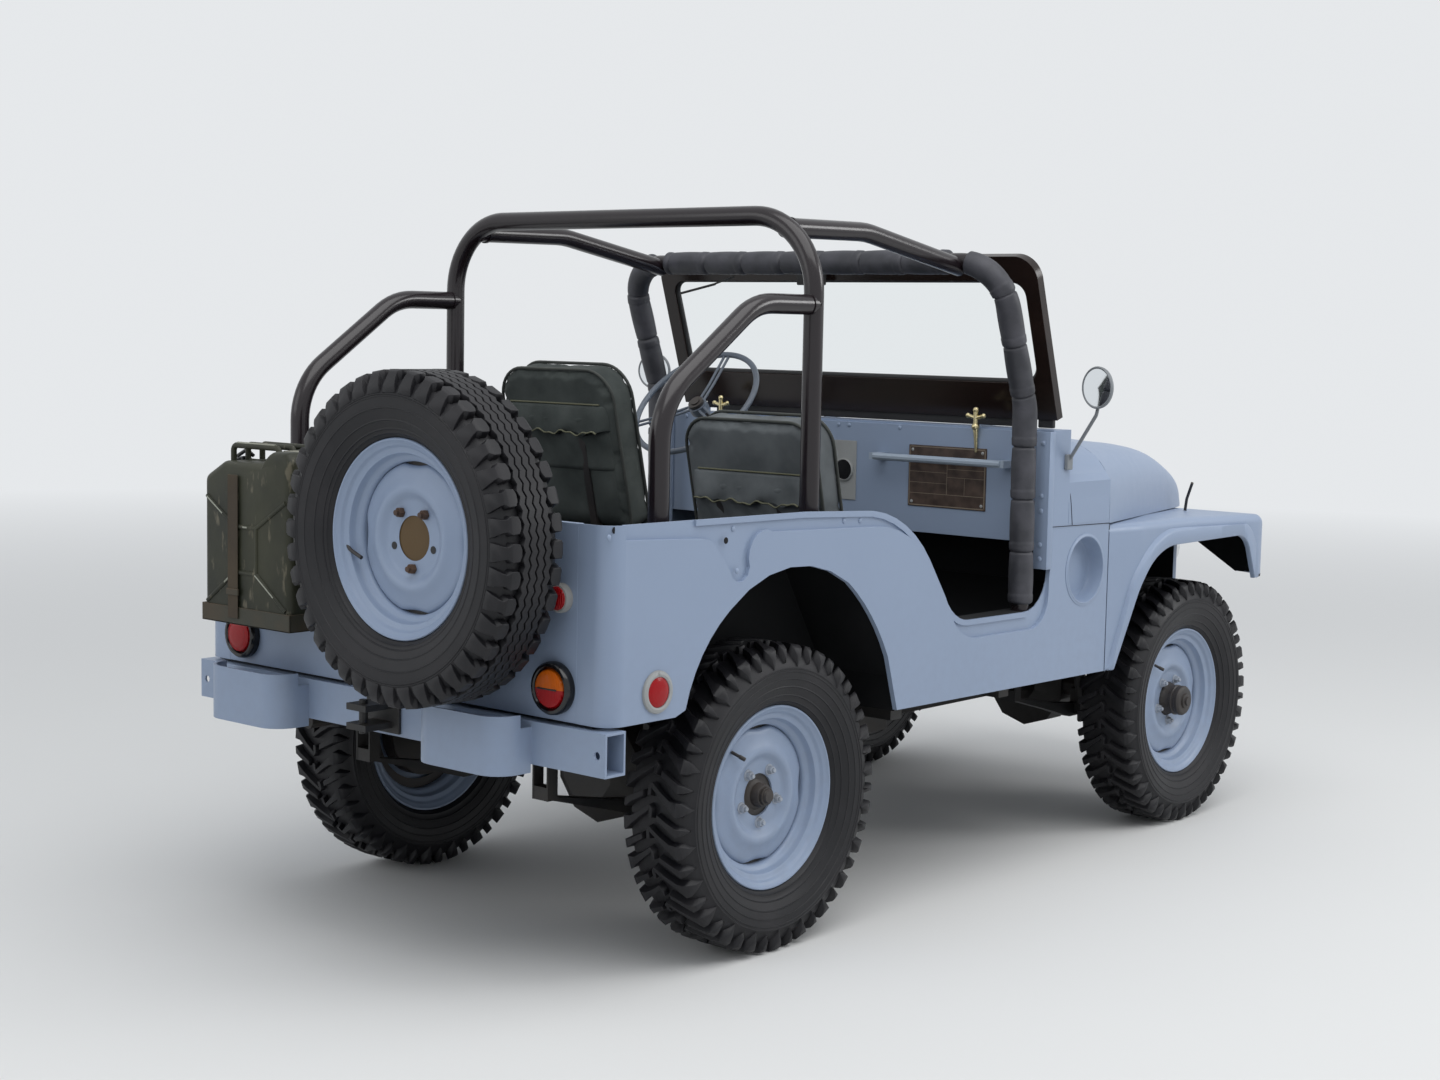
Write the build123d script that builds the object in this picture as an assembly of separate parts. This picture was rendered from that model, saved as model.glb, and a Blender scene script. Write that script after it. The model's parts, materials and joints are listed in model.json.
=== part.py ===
from build123d import *
import os
from math import cos, pi, radians, sin, tan

# Open army 4x4 car, quarter-ton class, one rigid sub-part per STEP file.
# Frame: X forward, Y to the driver's left, Z up, millimetres, ground at Z = 0.
# Everything is drawn from the rear axle (X = 0) and moved at the end so that
# the origin lies under the middle of the whole car.

# Running gear
WHEELBASE = 2057.0
TRACK = 1247.0
TYRE_R = 386.0
TYRE_HALF = 97.0
LUG_DEPTH = 15.0
LUG_INNER = 8.0
LUG_PITCHES = 21
RIM_R = 222.0
BEAD_R = 203.0
RIM_HALF = 63.5
RIM_SIDES = 16
LIP_T = 3.5
DISC_OUT = 17.0
DISC_T = 6.0
HUB_BORE_R = 54.0
AXLE_TUBE_R = 38.0
KINGPIN_IN = 95.5
KINGPIN_Y = TRACK / 2 - KINGPIN_IN
KINGPIN_R = 10.0
BALL_R = 46.0
CUP_GAP = 3.0
CUP_T = 9.0
SPINDLE_R = 24.0
DRUM_R = 134.0
DRUM_BACK = -31.0
PLATE_GAP = 2.5
SEAT_DROP = 8.0
DIFF_Y = -130.0
DIFF_R = 148.0
ROD_SIDES = 10
DISC_SIDES = 20
BEND_STEP = 0.4
ARC_RUNS = 6
RUN_GAP = 0.3
PIN_GAP = 0.06
PIN_R = 8.0
TIE_R = 13.0
ARM_X = 150.0

# Frame
RAIL_Y = 325.0
RAIL_W = 50.0
RAIL_H = 96.0
RAIL_FRONT_RISE = 45.0
SPRING_Y = 330.0
SPRING_W = 44.0
LEAF_T = 9.0
SPRING_REACH = 440.0
SPRING_RISE = 62.0
DAMPER_Y = 374.0
DAMPER_R = 20.0

# Power train
ENGINE_X0 = 1700.0
ENGINE_X1 = 2250.0
TRANSFER_X0 = 940.0
RADIATOR_X = 2380.0
SHAFT_R = 25.0
EXHAUST_Y = 430.0
EXHAUST_Z = 440.0
EXHAUST_R = 22.0
EXHAUST_BEND = 90.0

# Rear end
REAR_X = -650.0
BUMPER_DEPTH = 66.0
BUMPER_REAR_X = -665.0
BUMPER_Z0 = 538.0
BUMPER_Z1 = 639.0
BUMPER_T = 6.0
BUMPER_HOLE_Z = 587.0
BUMPER_HOLE_R = 9.0
BUMPERETTE_D = 105.0
BUMPERETTE_R = 65.0
BUMPERETTE_Z0 = 518.0
BUMPERETTE_Z1 = 656.0
LAMP_Z = 722.0
LAMP_R = 62.0
REFLECTOR_X = -490.0
REFLECTOR_Z = 714.0
REFLECTOR_R = 42.0

# Tub
SHEET = 4.0
RAISE = 10.0
BODY_HALF = 738.0
CORNER_R = 50.0
BUMPER_HALF = BODY_HALF + 7.0
BUMPER_HOLE_Y = BUMPER_HALF - 26.0
LAMP_Y = BODY_HALF - 165.0
SEAM_Y = BODY_HALF - 100.0
RAIL_TOP_Z = 1102.0
REAR_LOW_Z = 647.0
SILL_Z = 762.0
SILL_LOW_Z = 560.0
SILL_W = 86.0
FLOOR_Z = 557.0
REAR_FLOOR_Z = 648.0
HOUSE_TOP_Z = 985.0
HOUSE_W = 260.0
HOUSE_IN = BODY_HALF - HOUSE_W
HOUSE_X0 = -470.0
HOUSE_X1 = 452.0
HOUSE_SLOPE_X = 250.0
TOE_X = 1180.0
TOE_TOP_Z = 800.0
FIREWALL_X = 1476.0
COWL_X = 1485.0
COWL_T = 5.0
COWL_SIDE_Z = 1120.0
COWL_SHOULDER_Y = 520.0
COWL_SHOULDER_Z = 1222.0
COWL_TOP_Z = 1248.0
BELT_Z = 990.0
DASH_X = 1150.0
DASH_HALF = BODY_HALF - 38.0
DASH_Z0 = 950.0
DASH_Z1 = 1266.0
STRIP_X0 = 1168.0
STRIP_X1 = 1256.0
STRIP_TOP_Z = 1272.0
RECESS_X = 1358.0
RECESS_Z = 862.0
RECESS_R = 97.0
RECESS_DEPTH = 48.0
PLATE_T = 3.0
HANDLE_Y0 = -150.0
HANDLE_Y1 = -600.0
HANDLE_Z = 1170.0
HANDLE_R = 11.0
HANDLE_OUT = 45.0

# Nose
HOOD_GAP = 5.0
HOOD_T = 6.0
HOOD_HINGE_X = 1481.0
HOOD_HINGE_Y = 300.0
HOOD_HINGE_Z = 1260.0
HINGE_PIN_R = 5.0
KNUCKLE_L = 40.0
FENDER_OUT = 35.0
FENDER_HALF = BODY_HALF + FENDER_OUT
LIP = 13.0
FENDER_TIP_X = 2512.0
FENDER_TOP_Z = 985.0
SKIRT_Z = 768.0
SPLASH_Z = 640.0
APRON_Y = RAIL_Y + RAIL_W / 2
GRILLE_X = 2450.0
GRILLE_T = 22.0
GRILLE_HALF = 425.0
GRILLE_SLOTS = 7
GRILLE_LOW_Z = 598.0
GRILLE_TOP_Z = 960.0
SLOT_FIELD = 230.0
SLOT_W = 38.0
SLOT_Z0 = 690.0
SLOT_Z1 = 930.0
HEADLAMP_Y = 330.0
HEADLAMP_Z = 830.0
HEADLAMP_R = 88.0
NOSE_X = 2747.0
FRONT_BUMPER_H = 130.0
FRONT_BUMPER_Z = 490.0
FRONT_BUMPER_HALF = 700.0
FRONT_BUMPER_DEPTH = 57.0

# Windshield
WS_X = 1240.0
WS_Z = STRIP_TOP_Z + 21.0
WS_HINGE_Y = 600.0
WS_LEAN = 18.0
WS_HALF = BODY_HALF - 27.0
WS_H = 494.0
WS_T = 30.0
WS_LOW = 118.0
WS_TOP = 72.0
WS_SIDE = 46.0
WS_LIFT = 9.0
GLASS_T = 6.0

# Cage
TUBE_R = 21.0
PAD_R = 32.0
HOOP_X = 156.0
HOOP_Y = BODY_HALF - 81.0
HOOP_TOP_Z = 1828.0
HOOP_BEND = 195.0
STAY_Z = HOOP_TOP_Z - 223.0
STAY_KNEE = 235.0
STAY_FOOT_X = -406.0
FRONT_HOOP_Y = BODY_HALF - 43.0
FRONT_HOOP_TOP_X = 930.0
FRONT_HOOP_TOP_Z = HOOP_TOP_Z - 90.0
FRONT_HOOP_KNEE_Z = 1340.0
FRONT_HOOP_FOOT_X = 1084.0
FRONT_HOOP_BEND = 130.0
PAD_BREAK = 34.0
RAIL_JOIN_Y = HOOP_Y - 99.0
RAIL_DROP = 31.0

# Steering
STEER_Y = 350.0
STEER_X = 862.0
STEER_Z = 1314.0
STEER_R = 206.0
STEER_RIM_R = 9.0
STEER_TILT = 45.0
STEER_HUB = 34.0
COLUMN_R = 20.0
LEVER_R = 8.0

# Seats
SEAT_Y = 360.0
SEAT_W = 430.0
CUSHION_X0 = 400.0
CUSHION_X1 = 860.0
CUSHION_T = 95.0
BACK_T = 95.0
BACK_H = 455.0
BACK_X = 352.0
BAR_Y = 104.0
BACK_LEAN = 13.0
DRIVER_Z = 945.0
PASSENGER_Z = 830.0

# Spare wheel and can
SPARE_Y = -288.0
SPARE_Z = 1052.0
SPARE_X = -811.0
CAN_Y = 337.0
CAN_W = 345.0
CAN_D = 165.0
CAN_H = 470.0
CAN_Z = 790.0
CAN_GAP = 12.0
MIRROR_X = 1214.0
MIRROR_Y = BODY_HALF + 107.0
MIRROR_Z = 1395.0
MIRROR_R = 68.0

TAIL_X = SPARE_X - TYRE_HALF
SHIFT_X = -(TAIL_X + NOSE_X) / 2

parts = {}


def box(x0, x1, y0, y1, z0, z1):
    return Pos((x0 + x1) / 2, (y0 + y1) / 2, (z0 + z1) / 2) * Box(
        abs(x1 - x0), abs(y1 - y0), abs(z1 - z0))


def face_of(points):
    """A flat face from points (u, v) on the XY plane."""
    return make_face(Polyline(*points, close=True))


def face_path(start, *steps):
    """A flat face bounded by lines to (u, v) and arcs given as (middle, end), in short runs."""
    points = [start]
    for step in steps:
        if isinstance(step[0], tuple):
            arc = ThreePointArc(points[-1], *step)
            points += [tuple(arc @ (k / ARC_RUNS))[:2] for k in range(1, ARC_RUNS + 1)]
        else:
            points.append(step)
    return face_of(points)


def prism_y(sketch, y0, y1):
    """Extrude a sketch drawn as (x, z) from y0 to y1."""
    return Pos(0, max(y0, y1), 0) * extrude(Plane.XZ * sketch, abs(y1 - y0))


def prism_x(sketch, x0, x1):
    """Extrude a sketch drawn as (y, z) from x0 to x1."""
    return Pos(min(x0, x1), 0, 0) * extrude(Plane.YZ * sketch, abs(x1 - x0))


def prism_z(sketch, z0, z1):
    return Pos(0, 0, min(z0, z1)) * extrude(Plane.XY * sketch, abs(z1 - z0))


def pin(p, q, r):
    """A round bar or bore from p to q, for what turns or is bolted."""
    a = Vector(*p)
    b = Vector(*q)
    d = b - a
    return Plane(origin=a, z_dir=d) * Pos(0, 0, d.length / 2) * Cylinder(r, d.length)


def rod(p, q, r, sides=ROD_SIDES):
    """A many-sided bar or disc from p to q."""
    a = Vector(*p)
    b = Vector(*q)
    return extrude(Plane(origin=a, z_dir=b - a) * RegularPolygon(r, sides), (b - a).length)


def skinned(rings):
    """A closed solid through rings of equally many points, in flat triangles."""
    faces = [Face(Wire.make_polygon(ring)) for ring in (rings[0], rings[-1])]
    for ring, beyond in zip(rings, rings[1:]):
        for p, q, b, a in zip(ring, ring[1:] + ring[:1], beyond[1:] + beyond[:1], beyond):
            faces.append(Face(Wire.make_polygon([p, q, b])))
            faces.append(Face(Wire.make_polygon([p, b, a])))
    return Solid(Shell(faces))


def turned(rows):
    """A many-sided turned piece about Z, from rows of (radius, height)."""
    turns = [k * 2 * pi / ROD_SIDES for k in range(ROD_SIDES)]
    return skinned([[Vector(r * cos(a), r * sin(a), h) for a in turns] for r, h in rows])


def bent(points, bend):
    """The points of a path whose corners are rounded by short straight runs."""
    way = [Vector(*points[0])]
    for before, here, after in zip(points, points[1:], points[2:]):
        corner = Vector(*here)
        u = (Vector(*before) - corner).normalized()
        v = (Vector(*after) - corner).normalized()
        half = radians(u.get_angle(v)) / 2
        centre = corner + (u + v).normalized() * (bend / sin(half))
        first = corner + u * (bend / tan(half)) - centre
        last = corner + v * (bend / tan(half)) - centre
        turn = pi - 2 * half
        runs = max(1, round(turn / BEND_STEP))
        for k in range(runs + 1):
            f = k / runs
            way.append(centre + (first * sin((1 - f) * turn) + last * sin(f * turn)) * (1 / sin(turn)))
    return way + [Vector(*points[-1])]


def tube(points, r, bend):
    """A many-sided bar along a bent path, mitred from run to run."""
    way = bent(points, bend)
    runs = [(q - p).normalized() for p, q in zip(way, way[1:])]
    start = Plane(origin=way[0], z_dir=runs[0])
    turns = [k * 2 * pi / ROD_SIDES for k in range(ROD_SIDES)]
    ring = [start.from_local_coords(Vector(r * cos(a), r * sin(a), 0)) for a in turns]
    faces = [Face(Wire.make_polygon(ring))]
    for place, before, after in zip(way[1:], runs, runs[1:] + runs[-1:]):
        across = before + after
        moved = [p + before * ((place - p).dot(across) / before.dot(across)) for p in ring]
        for p, q, b, a in zip(ring, ring[1:] + ring[:1], moved[1:] + moved[:1], moved):
            faces.append(Face(Wire.make_polygon([p, q, b, a])))
        ring = moved
    faces.append(Face(Wire.make_polygon(ring)))
    return Solid(Shell(faces))


def flip(shape):
    """The same piece on the other side of the car."""
    return mirror(shape, about=Plane.XZ)


def faceted(outlines, walls, sectors):
    """A flat-sided wheel solid about the Y axis.

    outlines: one (r, y) outline for every other sector, or one for all.
    walls: (r, y) outlines that close the step between two sectors.
    """
    step = 2 * pi / sectors
    faces = []

    def flat(points):
        faces.append(Face(Wire.make_polygon([Vector(*p) for p in points])))

    def at(point, k):
        return (point[0] * cos(k * step), point[1], point[0] * sin(k * step))

    for k in range(sectors):
        outline = outlines[k % len(outlines)]
        for p, q in zip(outline, outline[1:] + outline[:1]):
            flat([at(p, k), at(q, k), at(q, k + 1), at(p, k + 1)])
        for wall in walls:
            flat([at(p, k) for p in wall])
    return Solid(Shell(faces))


def tyre(top, base, bead_r):
    """Carcass with lugs raised in turn left and right of the middle, axis Y."""
    bead = (bead_r, RIM_HALF - 12.0)
    low_wall = (292.0, TYRE_HALF)
    high_wall = (342.0, TYRE_HALF - 3.0)
    edge = TYRE_HALF - 17.0
    mid = LUG_INNER

    def side(sign):
        return [(p[0], sign * p[1]) for p in (bead, low_wall, high_wall)]

    left = side(1)
    right = side(-1)[::-1]
    left_up = left + [(top, edge), (top, mid), (top, -mid), (base, -mid), (base, -edge)] + right
    right_up = left + [(base, edge), (base, mid), (top, mid), (top, -mid), (top, -edge)] + right
    walls = [[(high_wall[0], s * high_wall[1]), (top, s * edge), (top, s * mid),
              (base, s * mid), (base, s * edge)] for s in (1, -1)]
    return faceted([left_up, right_up], walls, 2 * LUG_PITCHES)


def rim(hub_points):
    """Drop-centre rim, dished disc and hub outline, outboard side towards +Y."""
    t = DISC_T
    well = 178.0
    lip = (RIM_R - 2.0, RIM_HALF + LIP_T)
    seat = (BEAD_R - 4.0, RIM_HALF - 11.0 + LIP_T)
    outer = [(RIM_R, RIM_HALF), (BEAD_R, RIM_HALF - 11.0), (well, 14.0), (well, -18.0),
             (BEAD_R, -RIM_HALF + 11.0), (RIM_R, -RIM_HALF)]
    inner = [(lip[0], -lip[1]), (seat[0], -seat[1]), (well - t, -19.0), (well - t, 2.0)]
    back = [(122.0, DISC_OUT + 8.0), (92.0, DISC_OUT - t)]
    front = [(90.0, DISC_OUT), (120.0, DISC_OUT + 8.0 + t), (166.0, 10.0), seat, lip]
    return faceted([outer + inner + back + hub_points + front], [], RIM_SIDES)


def road_rim(cap_len, cap_r):
    """Rim with its brake drum and hub; the cap closes the spindle's bore."""
    bore = (SPINDLE_R + RUN_GAP) / cos(pi / RIM_SIDES)
    hub = [(DRUM_R, DISC_OUT - DISC_T), (DRUM_R, DRUM_BACK), (bore, DRUM_BACK),
           (bore, DISC_OUT + cap_len), (cap_r, DISC_OUT + cap_len), (cap_r, DISC_OUT)]
    cap = rod((0, DISC_OUT + cap_len - 6.0, 0), (0, DISC_OUT + cap_len + 6.0, 0), cap_r - 3.0)
    return rim(hub) + cap


def wheels():
    # the flats of the many-sided tyre lie on its real radius
    flat = cos(pi / (2 * LUG_PITCHES))
    road = tyre(TYRE_R / flat, (TYRE_R - LUG_DEPTH) / flat, (BEAD_R + RUN_GAP) / flat)
    # axle, its X, hub length outboard of the disc, hub radius
    for end, x, cap_len, cap_r in (("rear", 0.0, 40.0, 34.0), ("front", WHEELBASE, 76.0, 42.0)):
        disc = road_rim(cap_len, cap_r)
        for side, s in (("left", 1), ("right", -1)):
            turn = Rot(0, 0, 0) if s > 0 else Rot(0, 0, 180)
            spot = Pos(x, s * TRACK / 2, TYRE_R)
            parts[f"tyre_{end}_{side}"] = spot * turn * road
            parts[f"rim_{end}_{side}"] = spot * turn * disc
    spot = Pos(SPARE_X, SPARE_Y, SPARE_Z) * Rot(0, 0, 90)
    parts["spare_tyre"] = spot * road
    parts["spare_rim"] = spot * rim([(HUB_BORE_R, DISC_OUT - DISC_T), (HUB_BORE_R, DISC_OUT)])


# Frame, axles, springs and driveline
def frame_rails():
    rise = REAR_FLOOR_Z - FLOOR_Z
    nose = RAIL_FRONT_RISE
    z = FLOOR_Z - SHEET - RAIL_H
    low = [(BUMPER_REAR_X + BUMPER_DEPTH, z + rise), (-120.0, z + rise), (260.0, z),
           (1700.0, z), (1960.0, z + nose), (NOSE_X - FRONT_BUMPER_DEPTH, z + nose)]
    outline = low + [(px, pz + RAIL_H) for px, pz in reversed(low)]
    outer = RAIL_Y + RAIL_W / 2
    inner = RAIL_Y - RAIL_W / 2
    rail = prism_y(face_of(outline), inner, outer)
    members = [rail, flip(rail)]
    # crossmembers: x, bottom z above the rail's low line, height
    for x, lift, h in ((-560.0, rise, RAIL_H), (330.0, 12.0, 70.0), (TRANSFER_X0 - 30.0, 52.0, 40.0),
                       (1610.0, 0.0, 30.0), (RADIATOR_X, nose + 30.0, RAIL_H - 30.0)):
        members.append(box(x - 30.0, x + 30.0, -inner, inner, z + lift, z + lift + h))
    # outriggers that carry the sills
    for x in (560.0, 1080.0):
        for s in (1, -1):
            members.append(box(x - 25.0, x + 25.0, s * outer, s * (BODY_HALF - SILL_W), z + 50.0, z + RAIL_H))
    parts["frame_rails"] = Compound(members)


def axle_half(s, x, ball):
    """One end of an axle: spring seat, and a spindle with its brake plate or a steering ball."""
    z = TYRE_R
    half = box(x - 50.0, x + 50.0, s * SPRING_Y - SPRING_W / 2, s * SPRING_Y + SPRING_W / 2,
               z - AXLE_TUBE_R - SEAT_DROP, z)
    if ball:
        y = s * KINGPIN_Y
        reach = BALL_R + CUP_GAP + CUP_T
        half += Pos(x, y, z) * barrel(BALL_R)
        half += pin((x, y, z - reach), (x, y, z + reach), KINGPIN_R)
    else:
        half += brake_end(x, s, s * KINGPIN_Y)
    return half


def barrel(r):
    """A ball-like drum about Z with chamfered ends."""
    return turned([(r / 2, -r), (r, -r / 2), (r, r / 2), (r / 2, r)])


def brake_end(x, s, start_y):
    """Spindle and brake plate outboard of start_y."""
    z = TYRE_R
    plate_y = TRACK / 2 + DRUM_BACK - PLATE_GAP
    turn = 2 * pi / RIM_SIDES
    plate = face_of([(x + DRUM_R * cos(k * turn), z + DRUM_R * sin(k * turn)) for k in range(RIM_SIDES)])
    spindle = rod((x, start_y, z), (x, s * (TRACK / 2 + DISC_OUT + 30.0), z), SPINDLE_R)
    return spindle + prism_y(plate, s * (plate_y - SHEET), s * plate_y)


def axles():
    z = TYRE_R
    # axle, its X, side the pinion points to, steering ball
    for end, x, toward, ball in (("rear", 0.0, 1, False), ("front", WHEELBASE, -1, True)):
        tube_end = KINGPIN_Y if ball else TRACK / 2 + DRUM_BACK - PLATE_GAP - SHEET
        whole = rod((x, -tube_end, z), (x, tube_end, z), AXLE_TUBE_R)
        # housing from its cover to the pinion nose: radius, distance along X
        housing = turned([(90.0, -90.0), (DIFF_R, -45.0), (DIFF_R, 45.0), (62.0, 80.0), (45.0, 190.0)])
        whole += Pos(x, DIFF_Y, z) * Rot(0, 90.0 * toward, 0) * housing
        for s in (1, -1):
            whole += axle_half(s, x, ball)
        parts[f"axle_{end}"] = whole


def knuckles():
    """Half cup round the ball, brake plate and spindle outboard, arm forward."""
    z = TYRE_R
    x = WHEELBASE
    inner_r = BALL_R + CUP_GAP
    outer_r = inner_r + CUP_T
    ring = barrel(outer_r) - barrel(inner_r)
    cup = ring & box(-outer_r, outer_r, 0, outer_r, -outer_r, outer_r)
    for lid in (outer_r - CUP_T, -outer_r):
        cup += box(-26.0, 26.0, -24.0, 20.0, lid, lid + CUP_T)
    cup += box(-26.0, 26.0, outer_r - 8.0, TRACK / 2 + DRUM_BACK - PLATE_GAP - KINGPIN_Y, -26.0, 26.0)
    arm = box(20.0, ARM_X, 14.0, 42.0, -14.0, 14.0)
    arm += box(ARM_X - 22.0, ARM_X + 22.0, -22.0, 42.0, -14.0, 14.0)
    arm -= pin((ARM_X, 0, -60.0), (ARM_X, 0, 60.0), PIN_R + PIN_GAP)
    cup -= pin((0, 0, -2 * outer_r), (0, 0, 2 * outer_r), KINGPIN_R + PIN_GAP)
    left = Pos(x, KINGPIN_Y, z) * (cup + (arm - barrel(inner_r)))
    left += brake_end(x, 1, KINGPIN_Y + outer_r - 4.0)
    parts["knuckle_left"] = left
    parts["knuckle_right"] = flip(left)


def tie_rod():
    x = WHEELBASE + ARM_X
    z = TYRE_R + 14.0 + RUN_GAP
    whole = rod((x, -KINGPIN_Y, z + 20.0), (x, KINGPIN_Y, z + 20.0), TIE_R)
    for s in (1, -1):
        whole += box(x - 20.0, x + 20.0, s * KINGPIN_Y - 20.0, s * KINGPIN_Y + 20.0, z, z + 38.0)
        whole += pin((x, s * KINGPIN_Y, z - 27.0), (x, s * KINGPIN_Y, z + 5.0), PIN_R)
    parts["tie_rod"] = whole


def springs():
    """Leaf packs under the axles, hung from the rails by hangers and shackles."""
    top = TYRE_R - AXLE_TUBE_R - SEAT_DROP
    z = FLOOR_Z - SHEET - RAIL_H
    half = SPRING_REACH
    packs = []
    # axle x, rail underside over the rear eye, rail underside over the front eye
    for x, z_back, z_front in ((0.0, z + REAR_FLOOR_Z - FLOOR_Z, z), (WHEELBASE, z, z + RAIL_FRONT_RISE)):
        upper = [(-half, SPRING_RISE), (-half / 2, SPRING_RISE / 3), (-60.0, 0), (60.0, 0),
                 (half / 2, SPRING_RISE / 3), (half, SPRING_RISE)]
        # the pack is thin at its eyes and four leaves thick at the axle
        lower = [(half, SPRING_RISE - LEAF_T), (half / 2, SPRING_RISE / 3 - 3 * LEAF_T),
                 (120.0, -4 * LEAF_T), (-120.0, -4 * LEAF_T),
                 (-half / 2, SPRING_RISE / 3 - 3 * LEAF_T), (-half, SPRING_RISE - LEAF_T)]
        outline = [(x + px, top + pz) for px, pz in upper + lower]
        pack = prism_y(face_of(outline), SPRING_Y - SPRING_W / 2, SPRING_Y + SPRING_W / 2)
        for e, z_rail in ((x - half, z_back), (x + half, z_front)):
            pack += box(e - 16.0, e + 16.0, SPRING_Y - 22.0, SPRING_Y + 22.0,
                        top + SPRING_RISE - LEAF_T, top + SPRING_RISE + 24.0)
            for y in (SPRING_Y - SPRING_W / 2 - 5.0, SPRING_Y + SPRING_W / 2):
                pack += box(e - 17.0, e + 17.0, y, y + 5.0, top + SPRING_RISE - LEAF_T, z_rail)
        # damper behind the axle, pinned to the rail's outer face
        damper = rod((x - 80.0, DAMPER_Y, top + 8.0), (x - 120.0, DAMPER_Y, z_back + 50.0), DAMPER_R)
        damper += box(x - 132.0, x - 108.0, RAIL_Y + RAIL_W / 2, DAMPER_Y, z_back + 30.0, z_back + 54.0)
        damper += box(x - 92.0, x - 50.0, SPRING_Y + SPRING_W / 2, DAMPER_Y, top - 30.0, top + 14.0)
        packs += [pack + damper, flip(pack + damper)]
    parts["springs"] = Compound(packs)


def power_train():
    """Engine and bell housing as one block, gearbox and transfer case, two shafts, exhaust."""
    z = TYRE_R
    low = FLOOR_Z - SHEET - RAIL_H
    block = box(ENGINE_X0, ENGINE_X1, -200.0, 200.0, 560.0, 1050.0)
    block += box(ENGINE_X0 - 140.0, ENGINE_X0, -170.0, 170.0, low + 30.0, 860.0)
    for s in (1, -1):
        block += box(2080.0, 2150.0, s * 200.0, s * (RAIL_Y - RAIL_W / 2), 560.0, 590.0)
    parts["engine"] = block
    under = FLOOR_Z - SHEET
    gearbox = box(TRANSFER_X0 + 160.0, ENGINE_X0 - 140.0, -110.0, 110.0, 452.0, under - 6.0)
    gearbox += box(TRANSFER_X0, TRANSFER_X0 + 200.0, -200.0, 110.0, 345.0, under - 12.0)
    parts["gearbox"] = gearbox
    core_z = low + RAIL_FRONT_RISE + RAIL_H
    parts["radiator"] = box(RADIATOR_X - 30.0, RADIATOR_X + 30.0, -260.0, 260.0, core_z, 1000.0)
    shafts = rod((190.0, DIFF_Y, z), (TRANSFER_X0, DIFF_Y, z), SHAFT_R)
    shafts += box(190.0, 250.0, DIFF_Y - 40.0, DIFF_Y + 40.0, z - 18.0, z + 18.0)
    front = rod((TRANSFER_X0 + 200.0, DIFF_Y, z), (WHEELBASE - 190.0, DIFF_Y, z), SHAFT_R)
    front += box(WHEELBASE - 250.0, WHEELBASE - 190.0, DIFF_Y - 40.0, DIFF_Y + 40.0, z - 18.0, z + 18.0)
    parts["drive_shafts"] = Compound([shafts, front])
    silencer = rod((480.0, EXHAUST_Y, EXHAUST_Z), (900.0, EXHAUST_Y, EXHAUST_Z), 55.0)
    tail = tube([(490.0, EXHAUST_Y, EXHAUST_Z), (180.0, EXHAUST_Y, EXHAUST_Z),
                 (-160.0, EXHAUST_Y, EXHAUST_Z + 60.0), (-560.0, EXHAUST_Y, EXHAUST_Z + 60.0)],
                EXHAUST_R, EXHAUST_BEND)
    lead = tube([(890.0, EXHAUST_Y, EXHAUST_Z), (1240.0, EXHAUST_Y, EXHAUST_Z), (1330.0, EXHAUST_Y, 600.0),
                 (1450.0, 250.0, 620.0), (ENGINE_X0 + 40.0, 190.0, 720.0)], EXHAUST_R, 60.0)
    parts["exhaust"] = (silencer + tail + lead) - box(ENGINE_X0, ENGINE_X0 + 100.0, 0, 200.0, 600.0, 800.0)


# Bumpers and tow jaw
def bumpers():
    x0 = BUMPER_REAR_X
    x1 = x0 + BUMPER_DEPTH
    t = BUMPER_T
    beam = box(x0, x1, -BUMPER_HALF, BUMPER_HALF, BUMPER_Z0, BUMPER_Z1)
    beam -= box(x0 + t, x1 - t, -BUMPER_HALF - 1, BUMPER_HALF + 1, BUMPER_Z0 + t, BUMPER_Z1 - t)
    for y in (BUMPER_HOLE_Y, -BUMPER_HOLE_Y):
        beam -= pin((x0 - 1, y, BUMPER_HOLE_Z), (x0 + t + 1, y, BUMPER_HOLE_Z), BUMPER_HOLE_R)
    # bumperettes: inner and outer Y of each bent plate
    for y0, y1 in ((-510.0, -210.0), (293.0, 593.0)):
        beam += bumperette(y0, y1)
    parts["rear_bumper"] = beam
    bar = box(NOSE_X - FRONT_BUMPER_DEPTH, NOSE_X, -FRONT_BUMPER_HALF, FRONT_BUMPER_HALF,
              FRONT_BUMPER_Z, FRONT_BUMPER_Z + FRONT_BUMPER_H)
    bar -= box(NOSE_X - FRONT_BUMPER_DEPTH - 1, NOSE_X - t, -FRONT_BUMPER_HALF - 1, FRONT_BUMPER_HALF + 1,
               FRONT_BUMPER_Z + t, FRONT_BUMPER_Z + FRONT_BUMPER_H - t)
    for s in (1, -1):
        bar += box(NOSE_X - FRONT_BUMPER_DEPTH, NOSE_X - t, s * (RAIL_Y - 30.0), s * (RAIL_Y + 30.0),
                   FRONT_BUMPER_Z + t, FRONT_BUMPER_Z + FRONT_BUMPER_H - t)
    parts["front_bumper"] = bar
    jaw = box(x0 - 8.0, x0, -60.0, 60.0, 545.0, 635.0)
    for z in (558.0, 606.0):
        jaw += box(x0 - 92.0, x0 - 4.0, -36.0, 36.0, z, z + 16.0)
    jaw += rod((x0 - 68.0, 0, 548.0), (x0 - 68.0, 0, 632.0), 11.0)
    parts["tow_jaw"] = jaw


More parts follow.
